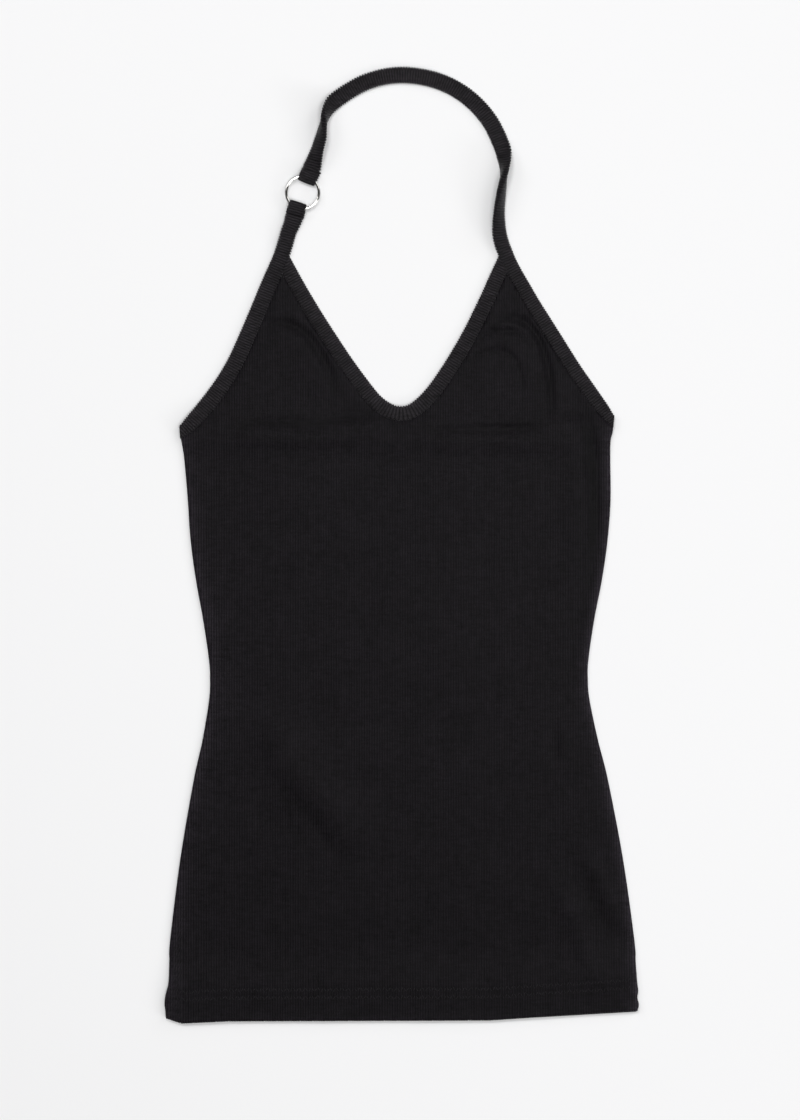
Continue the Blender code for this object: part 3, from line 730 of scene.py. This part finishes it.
front_creases = [
    # half width, then the crest as x, y, rise (a negative rise is a trough)
    (16, [(-104, 158, 0.4), (-88, 160, 0.9), (-73, 150, 1.1), (-62, 132, 1.1), (-58, 112, 0.3)]),
    (3.8, [
        (-110, 156, 0), (-103, 162.5, -0.8), (-93.5, 165.9, -1.3), (-86.7, 166.2, -1.5),
        (-80.2, 164, -1.5), (-74.5, 160.6, -1.5), (-69.8, 156.3, -1.5), (-65.9, 151.8, -1.5),
        (-61.4, 144.7, -1.5), (-57.4, 137.7, -1.5), (-54.9, 132.7, -1.4), (-52.9, 127.1, -1.2),
        (-52, 120, -0.7), (-51, 110, 0),
    ]),
    (28, [(-100, 112, 0.9), (-86, 124, 0.9)]),
    (6, [
        (-126, 82, 0), (-113, 80.5, 0.4), (-83, 79.5, 0.5), (-53, 80.5, 0.5), (-30, 84, 0.4),
        (-10, 88, 0),
    ]),
    (4.5, [
        (-124, 93, 0), (-113, 91, -1.2), (-98, 92, -1.6), (-83, 92, -1.6), (-68, 90, -1.6),
        (-53, 93, -1.4), (-38, 96, -1.6), (-22, 97, -0.6), (-8, 95, 0),
    ]),
    (2.2, [(-140, 75, 0), (-113, 73, -0.2), (-83, 71.5, -0.2), (-53, 71.5, -0.2), (-23, 72, 0)]),
    (16, [(62, 150, 0.3), (78, 158, 1), (92, 150, 1.1), (101, 134, 1.1), (103, 112, 0.4)]),
    (3.2, [
        (70, 170, 0), (76, 171, -0.6), (82.3, 171, -1.1), (90, 169, -1.4), (95.8, 164.3, -1.5),
        (101.1, 158.2, -1.6), (104.5, 152.1, -1.6), (106.6, 145.4, -1.6), (108.6, 139.4, -1.6),
        (110.3, 133.4, -1.6), (111.4, 125, -1.5), (112.3, 115, -1.3), (112.5, 105, -1),
        (112, 97, -0.6), (111, 92, 0),
    ]),
    (3.6, [
        (120, 92, 0), (108, 90, -0.7), (97, 88, -1.2), (82, 87, -1.6), (67, 87, -1.6),
        (52, 87, -1.6), (37, 86.2, -1), (22, 88, -0.5), (8, 87, 0),
    ]),
    (2.4, [
        (52, 148, 0), (58.8, 155, -0.7), (63.2, 158.4, -0.9), (68.7, 160.3, -1.3),
        (74.6, 160.3, -1.3), (80.5, 160.7, -1.4), (86.4, 159.5, -1.1), (92.2, 157, -0.7),
        (98.7, 148, -0.4), (101, 138, 0),
    ]),
    (2.4, [
        (50, 135, 0), (57.9, 141.5, -0.7), (64.1, 144.8, -0.8), (71.3, 146, -0.9),
        (77.6, 144.5, -0.8), (84, 141, -0.7), (88, 133, -0.5), (91, 121, -0.4), (92, 112, 0),
    ]),
    (28, [(78, 122, 0.9), (90, 110, 0.9)]),
    (8, [
        (20, 80, 0), (37, 75, 0.3), (52, 74.5, 0.35), (82, 74, 0.35), (100, 75, 0.35),
        (118, 76, 0.4), (130, 75, 0),
    ]),
    (5.5, [
        (127, 120, 0), (138, 98, -0.9), (142, 70, -1.5), (144, 30, -1.6), (143, 0, -1.4),
        (137, -45, -1), (130, -70, -0.5), (126, -110, 0),
    ]),
    (9, [(128, 96, 0), (130, 66, 0.7), (131, 30, 0.7), (130, 0, 0.6), (124, -40, 0)]),
    (18, [
        (-106, -118, 0), (-100, -134, 0.8), (-84, -162, 1.9), (-61, -190, 2.1),
        (-36, -217, 1.25), (-18, -232, 0),
    ]),
    (4.6, [
        (-112, -146, 0), (-104, -160, -0.25), (-91, -179, -0.3), (-74, -197, -0.5),
        (-62, -213, -0.55), (-52, -229, -0.45), (-38, -236, -0.4), (-20, -238, 0),
    ]),
    (2.5, [(-92, -130, 0), (-50, -133, -0.4), (40, -135, -0.4), (98, -134, 0)]),
    (4, [(116, -130, 0), (116, -150, -0.9), (116, -168, 0)]),
    (8.5, [
        (127, -232, 0), (135, -250, -0.65), (146, -274, -0.9), (157, -292, -0.65),
        (162, -308, 0),
    ]),
    (7, [(134, -222, 0), (147, -246, 0.6), (158, -272, 0.7), (164, -290, 0)]),
    (8, [(108, -240, 0), (118, -258, 0.8), (130, -284, 0.9), (144, -320, 0.8), (148, -340, 0)]),
]

# Broad patches of painted light and shade: lighter along the left side and over the bust, darker
# towards the hem and along the right-hand creases.
painted_light_patches = [
    # half width, then the middle as x, y, share of painted light (a negative share is painted
    # shade)
    (26, [(-160, 20, 0.1), (-152, -60, 0.35), (-148, -120, 0.35), (-160, -190, 0.15)]),
    (90, [(-60, 150, 0.08), (90, 130, 0.08)]),
    (80, [(-60, -290, -0.12), (60, -290, -0.12)]),
    (8, [(86, 92, -0.08), (104, 96, -0.2), (111, 112, -0.16), (110, 128, 0)]),
    (3.6, [
        (138, 104, -0.05), (144, 70, -0.24), (145.5, 20, -0.26), (141, -40, -0.15),
        (132, -75, 0),
    ]),
]


def directions(points):
    """Unit direction of the line at each point."""
    found = []
    for k in range(len(points)):
        run = (points[min(len(points) - 1, k + 1)] - points[max(0, k - 1)])[:2]
        found.append(run / np.hypot(*run))
    return found


def beside(points, reach):
    """The line moved to its left by one reach, or by a reach for each point."""
    reaches = np.broadcast_to(reach, len(points))
    moved = []
    for point, along, far in zip(points, directions(points), reaches):
        moved.append(point[:2] + far * np.array([-along[1], along[0]]))
    return moved


def tape_side(rows, side, tuck):
    """The line a tuck's depth inside one side of a tape: 1 is its left, -1 its right."""
    points = smooth_line(rows, 1.0)
    return beside(points, [side * (point[3] / 2 - tuck) for point in points])


def rest_of(x, y):
    """Height of what the front lies on: the back, its hem and its binding, or nothing."""
    back_high = knit_wall + piece_gap
    binding_over = tape_wall + piece_gap
    steps = [back_binding_low - step_run, back_binding_low]
    steps += [back_binding_high, back_binding_high + step_run]
    above = y - hem_height(x)
    hem = np.interp(above, [hem_depth, hem_depth + hem_run], [hem_wall - knit_wall, 0.0])
    return np.interp(y, steps, [back_high, binding_over, binding_over, 0.0]) + hem


def front_seams(tuck):
    """The lines along the right armhole, the neck and the left armhole bindings."""
    return [
        tape_side(long_tape[:sewn_rows], 1, tuck),
        beside(smooth_line(neck_edge, edge_step)[::-1], neck_tape_width - tuck),
        tape_side(short_tape[:sewn_rows], -1, tuck)[::-1],
    ]


seam_tuck = 1.3
front_cut = closed_cut(
    [hem_edge(1), side_edge(2, 0.0)[::-1]] + front_seams(seam_tuck) + [side_edge(1, 0.0)]
)

laid_unevenness = [
    # height, size across, size along, seed
    (0.40, 60.0, 60.0, 3.1),
    (0.24, 22.0, 22.0, 7.7),
    (0.07, 14.2857, 5.0, 1.3),
]


def unevenness(points):
    """Gentle rise and fall of laid cloth."""
    total = np.zeros(len(points))
    for high, across, along, seed in laid_unevenness:
        places = [Vector((x / across, y / along, seed)) for x, y in points]
        total += high * np.array([noise.noise(place) for place in places])
    return total


def from_lines(points, lines):
    """Distance of every point from the nearest of some lines."""
    return np.min([away_from(points, line)[0] for line in lines], axis=0)


def front_height(points):
    """Upper face of the front, without the roll of its edges."""
    held_by_seam = 2.2
    x, y = points.T
    freely = np.clip(from_lines(points, front_seams(0.0)) / held_by_seam, 0.0, 1.0)
    creased = crease_rise(points, front_creases) * freely
    return rest_of(x, y) + wall_of(x, y, 1) + creased + unevenness(points)


def edge_roll(away, wide, deep):
    """How far a rounded edge sinks within its width."""
    inward = np.clip(away / wide, 0, 1)
    return deep * (1 - np.sqrt(1 - (1 - inward) ** 2))


def bead(away, middle, half_width):
    """1 along a line at a set distance from an edge, fading out to both sides."""
    return np.exp(-(((away - middle) / half_width) ** 2))


front_left = min(point[0] for point in front_cut)
front_right = max(point[0] for point in front_cut)
stitch_rises = (17.6, 23.4)
hem_rises = [0.4, 1.1, 2.2, 3.4, 8.0, 13.0, 16.7, 17.6, 18.5, 22.5, 23.4, 24.3, 28.5, 32.0]
front_heights = np.concatenate([
    np.linspace(-322, 60, 72),
    np.arange(64.0, 101.0, 1.5),
    np.arange(103.0, 140.0, 3.0),
    np.arange(141.0, 175.0, 1.6),
    [178.0, 182.0, 186.0, 190.0, 195.0, 200.0],
])
front_rows = cloth_rows(hem_rises, front_heights)
front_columns = rib_columns(front_left, front_right, rib_shares)
front_upper = knit_face(front_cut, front_columns, front_rows)
lower_from_side = 3.0
lower_columns = np.arange(front_left + lower_from_side, front_right - lower_from_side, 9.0)
front_lower = knit_face(front_cut, lower_columns, front_rows)

upper_points = front_upper[0]
upper_x, upper_y = upper_points.T.copy()
from_left = from_lines(upper_points, [side_edge(1, 0.0)])
from_right = from_lines(upper_points, [side_edge(2, 0.0)])
from_hem = from_lines(upper_points, [hem_edge(1)])
from_seam = from_lines(upper_points, front_seams(0.0))
above_hem = upper_y - hem_height(upper_x)
ribs = rib_wave(upper_x / rib_pitch)

edges = [
    # distance from it, width of its round, depth of its round, fall beside it, its reach
    (from_left, 2.0, 0.8, 0.5, 8.0),
    (from_right, 2.4, 0.8, 0.4, 5.0),
    (from_hem, 1.4, 1.1, 0.0, 1.0),
    (from_seam, 2.2, 0.9, 0.0, 1.0),
]
stitch_row_sink = 0.06
hem_bead_rise = 0.25
least_wall = 0.12
upper_z = front_height(upper_points) + rib_height * ribs
for rise in stitch_rises:
    upper_z -= stitch_row_sink * bead(above_hem, rise, 0.8)
for away, wide, deep, fall, reach in edges:
    upper_z -= fall * np.exp(-away / reach) + edge_roll(away, wide, deep)
upper_z += hem_bead_rise * bead(from_hem, 2.0, 1.0)
upper_z = np.maximum(upper_z, rest_of(upper_x, upper_y) + least_wall)

ribs_past_hem = 0.5
upper_points[:, 1] -= ribs_past_hem * (ribs - 0.5) * np.exp(-from_hem)

folds_follow = 0.6
lower_points = front_lower[0]
lower_x, lower_y = lower_points.T
lower_z = rest_of(lower_x, lower_y)
lower_z += folds_follow * np.maximum(0.0, crease_rise(lower_points, front_creases))

# Painted highlights along the rolled side edges.
painted_highlight_edges = [
    # distance from it, share of painted highlight on it, reach of that
    (from_left, 2.2, 5.0),
    (from_right, 3.4, 3.2),
]
hem_painted_highlight = 0.5
painted_crease_shade = 0.22
deepest = -1.8
troughs = [crease for crease in front_creases if min(point[2] for point in crease[1]) < 0]
# Painted shade in the crease troughs, painted highlights on the side edges and hem fold, and the
# patches of painted light and shade.
painted_light_and_shade = painted_crease_shade * np.clip(crease_rise(upper_points, troughs), deepest, 0.0)
for away, share, reach in painted_highlight_edges:
    painted_light_and_shade += share * np.exp(-away / reach)
painted_light_and_shade += hem_painted_highlight * bead(from_hem, 1.6, 0.9)
painted_light_and_shade += crease_rise(upper_points, painted_light_patches)
front = panel_piece("front", front_upper, front_lower, upper_z, lower_z, painted_light_and_shade, "front_panel")


# Hem stitching
# Two needle rows of black thread through the turned-up hem of the front, sunk a little
# into the ribs.

def thread_finish(name, low, high):
    """Spun polyester sewing thread, with painted shade between the plies of its twist."""
    matt = {"Roughness": 0.5, "Specular IOR Level": 0.15}
    finish, nodes, links, shader = new_finish(name, matt)
    twist = set_inputs(nodes.new("ShaderNodeTexWave"), {"Scale": 900.0, "Distortion": 2.0})
    place = nodes.new("ShaderNodeTexCoord")
    links.new(place.outputs["Object"], twist.inputs["Vector"])
    # Painted shade: the twist's darker bands stand for shade between the plies.
    shade = blend(nodes, links, low, high, twist.outputs["Fac"])
    links.new(shade, shader.inputs["Base Color"])
    return finish


hem_thread = thread_finish(
    "black_hem_thread", low=(0.0045, 0.0042, 0.0045, 1.0), high=(0.012, 0.0108, 0.012, 1.0)
)


def stitches(name, seats, length, width, high, finish):
    """A row of short stitches: each seat is a place on the cloth and a direction."""
    rings = [(-0.5, 0.35), (-0.38, 0.85), (0.0, 1.0), (0.38, 0.85), (0.5, 0.35)]
    around = 6
    points = []
    faces = []
    for place, along in seats:
        ahead = Vector(along).normalized()
        left = Vector((0, 0, 1)).cross(ahead).normalized()
        up = ahead.cross(left)
        start = len(points)
        for share, swell in rings:
            for m in range(around):
                turn = 2 * math.pi * m / around
                out = left * math.cos(turn) * width / 2 + up * math.sin(turn) * high / 2
                points.append(Vector(place) + ahead * share * length + out * swell)
        faces += tube_faces(start, len(rings), around)
        faces.append(tuple(range(start, start + around))[::-1])
        faces.append(tuple(range(len(points) - around, len(points))))
    mesh = bpy.data.meshes.new(name)
    mesh.from_pydata([tuple(point * mm) for point in points], [], faces)
    return soft_piece(name, mesh, finish)


hem_row_left = -172.0
hem_row_right = 173.0
hem_stitch_pitch = 2.3
hem_stitch_size = (2.9, 0.5, 0.42)
sunk_in_ribs = 0.6
for row_name, rise in zip(("hem_stitches_low", "hem_stitches_high"), stitch_rises):
    across = np.arange(hem_row_left, hem_row_right, hem_stitch_pitch)
    wander = 0.35 * np.sin(across * 1.3) + 0.2 * np.sin(across * 0.37)
    spots = np.column_stack([across, hem_height(across) + rise + wander])
    seat_heights = front_height(spots) + rib_height * sunk_in_ribs
    seats = []
    for k, ((x, y), z) in enumerate(zip(spots, seat_heights)):
        slant = 0.6 + 0.25 * math.sin(k * 1.9)
        seats.append(((x, y, z), (slant if k % 2 else -slant, 1.0, 0.0)))
    stitches(row_name, seats, *hem_stitch_size, hem_thread)


# Neck binding
# Rib tape folded over the raw edge of the V neck, its ribs running across it. Its two
# ends are tucked against the armhole tapes.

ribs_each = 6
tape_step = tape_rib_pitch / ribs_each
tape_ease = 0.14
edge_clearance = 0.12
seam_stitch_size = (1.3, 0.5, 0.4)
end_tuck = 0.8
end_low = 196.0
end_high = 219.0
tucked_stations = 24


def even_line(rows, pitch):
    """The smooth curve through the rows, with its points exactly one pitch apart."""
    points = smooth_line(rows, pitch)
    lengths = run_lengths(points)
    table = np.array(points)
    places = np.arange(0, lengths[-1], pitch)
    return [np.array(row) for row in zip(*(np.interp(places, lengths, c) for c in table.T))]


def laid_station(row, along, ribs, free):
    """A tape's station from its row of sizes: rolled, and lying on what is under it."""
    x, y, roll, width, wall, lift = row
    left = Vector((-along[1], along[0], 0.0))
    turn = math.radians(roll)
    across = left * math.cos(turn) + Vector((0, 0, math.sin(turn)))
    face = Vector((0, 0, math.cos(turn))) - left * math.sin(turn)
    half_thick = wall / 2 + tape_rib_height / 2
    half_wide = width / 2 + edge_clearance
    reach = abs(math.sin(turn)) * half_wide + abs(math.cos(turn)) * half_thick
    middle = Vector((x, y, max(0.0, lift) + reach))
    if not free:
        edges = [middle + across * share * width / 2 for share in (-1, 1)]
        middle.z += max(float(rest_of(edge.x, edge.y)) for edge in edges)
    return (middle, across, face, width / 2 - tape_ease, wall / 2, ribs, free)


def trimmed(piece, point, outward):
    """The piece with its end cut off square to an outward direction, and closed."""
    on_plane = 1e-8
    weld = 2e-6
    mesh = bmesh.new()
    mesh.from_mesh(piece.data)
    bmesh.ops.bisect_plane(
        mesh,
        geom=mesh.verts[:] + mesh.edges[:] + mesh.faces[:],
        dist=on_plane,
        plane_co=Vector((point[0], point[1], 0.0)) * mm,
        plane_no=Vector((outward[0], outward[1], 0.0)),
        clear_outer=True,
    )
    bmesh.ops.remove_doubles(mesh, verts=mesh.verts, dist=weld)
    ends = [edge for edge in mesh.edges if edge.is_boundary]
    bmesh.ops.triangle_fill(mesh, use_beauty=True, edges=ends)
    bmesh.ops.recalc_face_normals(mesh, faces=mesh.faces)
    mesh.to_mesh(piece.data)
    mesh.free()
    return piece


def straight_cut(line, left, furthest):
    """A straight cut along a line, outward to its left or, with -1, to its right."""
    run = (line[-1] - line[0])[:2]
    outward = np.array([-run[1], run[0]]) * left / np.hypot(*run)
    reach = furthest(float((point[:2] - line[0][:2]) @ outward) for point in line)
    return line[0][:2] + outward * reach, outward


def beside_armhole(rows, side):
    """The cut of a neck tape's end along an armhole tape: point and outward."""
    edge = tape_side(rows[:sewn_rows], side, end_tuck)
    near = [point for point in edge if end_low < point[1] < end_high]
    return straight_cut(near, -side, min)


def seam_stitches(name, stations, sewn):
    """The small sunk stitches that close a tape's fold, on each face that is free."""
    every = 8
    proud = 0.05
    seats = []
    for before, station in zip(stations[::every], stations[every::every]):
        middle, across, face, half_width, half_wall, _, free = station
        along = middle - before[0]
        sunk = half_wall - stitch_sink + proud
        for side in (1, -1) if free else (1,):
            seat = middle + across * sewn * stitch_line * half_width + face * side * sunk
            seats.append((seat, along))
    return stitches(name, seats, *seam_stitch_size, tape_thread)


tape_thread = thread_finish(
    "black_tape_thread", low=(0.002, 0.002, 0.002, 1.0), high=(0.004, 0.004, 0.004, 1.0)
)
neck_middle = beside(even_line(neck_edge, tape_step), -neck_tape_width / 2)
neck_stations = []
for k, (place, along) in enumerate(zip(neck_middle, directions(neck_middle))):
    row = (place[0], place[1], 0, neck_tape_width, tape_wall, 0.0)
    neck_stations.append(laid_station(row, along, k / ribs_each, False))
neck = folded_tape("neck_tape", neck_stations, "neck_binding", -1)
neck_threads = seam_stitches("neck_stitches", neck_stations[tucked_stations:-tucked_stations], -1)
trimmed(neck, *beside_armhole(long_tape, 1))
trimmed(neck, *beside_armhole(short_tape, -1))


# Armhole bindings and neck strap
# Each armhole is bound with one folded rib tape that runs on past the top of the front.
# The right one is the long strap, which turns over twice on its way round the neck; both
# ends are folded round the ring and sewn down.

wire_radius = 1.15
loop_wall = 1.2
loop_return = 9.0
long_slip = 0.8
short_slip = -0.6
ring_height = loop_wall + piece_gap + wire_radius
strap_starts = 217.0
loop_stitched_at = 11.0
loop_ease = 0.05
loop_stitch_pitch = 2.0
loop_stitch_size = (1.6, 0.45, 0.4)


def side_cut(column):
    """Where an armhole tape turns under at the side seam: point and outward."""
    end_points = 11
    line = side_edge(column, 0.0)[:end_points]
    return straight_cut(line, 1 if column == 2 else -1, max)


def loop_stations(last, fold, slip, ribs):
    """A strap's end, taken round the ring's wire and back under itself."""
    gathered = 0.6
    along = np.array(fold) - np.array(last[:2])
    along = along / np.hypot(*along)
    bend = wire_radius + piece_gap + loop_wall / 2
    centre = np.array(fold) - along * (bend + loop_wall / 2)
    left = Vector((-along[1], along[0], 0.0))
    ahead = Vector((along[0], along[1], 0.0))
    half_wall = loop_wall / 2 - loop_ease
    half_width = last[3] / 2
    stations = []
    turns = 20
    for k in range(turns + 1):
        angle = math.pi * k / turns
        place = centre + along * bend * math.sin(angle)
        middle = Vector((place[0], place[1], ring_height + bend * math.cos(angle)))
        face = Vector((0, 0, math.cos(angle))) + ahead * math.sin(angle)
        ribs += math.pi * bend / turns / tape_rib_pitch
        stations.append((middle, left, face, half_width - gathered, half_wall, ribs, True))
    steps = round(loop_return / tape_step)
    for k in range(1, steps + 1):
        place = centre - along * loop_return * k / steps
        middle = Vector((place[0], place[1], ring_height - bend)) + left * slip * k / steps
        ribs += loop_return / steps / tape_rib_pitch
        under = Vector((0, 0, -1))
        stations.append((middle, left, under, half_width - tape_ease, half_wall, ribs, True))
    return stations


def strap(name, rows, fold, column, slip, node):
    """An armhole tape that runs on as a strap, with its loop round the ring."""
    pulled_over = 0.7
    pulled_narrower = 1.0
    pulled_thinner = 0.5
    line = even_line(rows, tape_step)
    stations = []
    for k, (row, along) in enumerate(zip(line, directions(line))):
        from_fold = math.hypot(row[0] - fold[0], row[1] - fold[1])
        pulled = float(bead(from_fold, loop_stitched_at, pulled_over))
        row[3] -= pulled_narrower * pulled
        row[4] -= pulled_thinner * pulled
        stations.append(laid_station(row, along, k / ribs_each, row[1] > strap_starts))
    stations += loop_stations(rows[-1], fold, slip, len(line) / ribs_each)
    sewn = 1 if column == 2 else -1
    piece = folded_tape(name, stations, node, sewn)
    return trimmed(piece, *side_cut(column)), stations


def loop_stitching(name, stations, fold):
    """A row of lockstitches across a strap's loop, a set way from its fold."""
    clear_of_edges = 1.6
    proud = 0.02
    face_up = 0.5
    upper = [station for station in stations if station[2].z > face_up]

    def off_row(station):
        from_fold = math.hypot(station[0].x - fold[0], station[0].y - fold[1])
        return abs(from_fold - loop_stitched_at)

    middle, across, face, half_width, half_wall = min(upper, key=off_row)[:5]
    count = int((2 * half_width - clear_of_edges) / loop_stitch_pitch)
    seats = []
    for k in range(count):
        shift = (k - (count - 1) / 2) * loop_stitch_pitch
        seats.append((middle + across * shift + face * (half_wall + proud), across))
    return stitches(name, seats, *loop_stitch_size, tape_thread)


def seamed(stations):
    """The stretch of a strap on which its closing stitches show."""
    clear_of_side = 96.0
    loop_count = 55
    return [station for station in stations[:-loop_count] if station[0].y > clear_of_side]


long_strap, long_stations = strap(
    "long_strap", long_tape, long_fold, 2, long_slip, "long_strap_binding"
)
long_threads = loop_stitching("long_loop_stitches", long_stations, long_fold)
long_seam = seam_stitches("long_strap_stitches", seamed(long_stations), 1)
short_strap, short_stations = strap(
    "short_strap", short_tape, short_fold, 1, short_slip, "short_strap_binding"
)
short_threads = loop_stitching("short_loop_stitches", short_stations, short_fold)
short_seam = seam_stitches("short_strap_stitches", seamed(short_stations), -1)


# Ring
# A closed ring of round steel wire, plated and polished, loose in the two strap loops.

ring_middle = (-73.8, 263.9)
ring_radius = 12.2
bpy.ops.mesh.primitive_torus_add(
    major_segments=120,
    minor_segments=24,
    major_radius=ring_radius * mm,
    minor_radius=wire_radius * mm,
    location=(0, 0, 0),
)
ring = bpy.context.object
ring.name = "wire_ring"
ring.data.transform(Matrix.Translation(Vector((*ring_middle, ring_height)) * mm))
ring.data.shade_smooth()
plating, nodes, links, shader = new_finish("polished_plating", {"Metallic": 1.0})
wear = set_inputs(nodes.new("ShaderNodeTexNoise"), {"Scale": 420.0, "Detail": 5.0})
polish = set_inputs(nodes.new("ShaderNodeMapRange"), {"To Min": 0.04, "To Max": 0.10})
links.new(wear.outputs["Fac"], polish.inputs["Value"])
links.new(polish.outputs["Result"], shader.inputs["Roughness"])
plated = blend(nodes, links, (0.60, 0.59, 0.57, 1.0), (0.74, 0.73, 0.71, 1.0), wear.outputs["Fac"])
links.new(plated, shader.inputs["Base Color"])
ring.data.materials.append(plating)
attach(ring, "ring")
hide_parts("ring")


# Surface, light and camera
# A plain pale table a hair below the top, large soft lights above it and low at its
# right, and a camera straight above. Sizes here are metres.

scene = bpy.context.scene
surface_size = 8.0
surface_drop = 0.0004
bpy.ops.mesh.primitive_plane_add(size=surface_size, location=(0, 0, -surface_drop))
surface = bpy.context.object
surface.name = "surface"
surface_look = {"Base Color": (0.86, 0.86, 0.865, 1.0), "Roughness": 0.8, "Specular IOR Level": 0.1}
surface.data.materials.append(new_finish("pale_surface", surface_look)[0])

room = bpy.data.worlds.new("studio")
room.use_nodes = True
room_light = {"Color": (1.0, 1.0, 1.0, 1.0), "Strength": 0.05}
set_inputs(room.node_tree.nodes["Background"], room_light)
scene.world = room

softboxes = [
    # name, x, y, z, width, length in metres, turn in degrees if it faces down, watts
    ("softbox_over_back", -0.56, 1.47, 3.0, 0.9, 1.2, 22.0, 47.8),
    ("softbox_over_front", 0.41, -0.94, 3.0, 0.9, 1.2, 22.0, 40.1),
    ("softbox_right_back", 2.88, 2.33, 3.2, 1.8, 2.2, 0.0, 30.7),
    ("softbox_right_front", 2.9, -1.9, 3.2, 1.8, 2.2, 0.0, 29.1),
    ("softbox_low_back", 3.1, 2.5, 1.35, 1.8, 1.0, 0.0, 16.6),
    ("softbox_low_front", 3.3, -1.9, 1.35, 1.8, 1.0, 0.0, 32.4),
    ("softbox_left", -2.86, 2.21, 3.0, 1.8, 2.0, 0.0, 35.5),
]
for name, x, y, z, width, length, turn, power in softboxes:
    light = bpy.data.lights.new(name, "AREA")
    light.shape = "RECTANGLE"
    light.size = width
    light.size_y = length
    light.energy = power
    lamp = bpy.data.objects.new(name, light)
    lamp.location = (x, y, z)
    towards = (-lamp.location).to_track_quat("-Z", "Y")
    if turn:
        towards = Euler((0.0, 0.0, math.radians(turn))).to_quaternion()
    lamp.rotation_euler = towards.to_euler()
    scene.collection.objects.link(lamp)

camera_height = 2.6
view_height = 0.84
view_middle = (-0.0008, -0.0113)
sensor_height = 36.0
camera_data = bpy.data.cameras.new("camera")
camera_data.sensor_fit = "VERTICAL"
camera_data.sensor_height = sensor_height
camera_data.lens = sensor_height * camera_height / view_height
camera_data.clip_start = 0.01
camera = bpy.data.objects.new("camera", camera_data)
camera.location = (*view_middle, camera_height)
scene.collection.objects.link(camera)
scene.camera = camera
scene.view_settings.view_transform = "Standard"
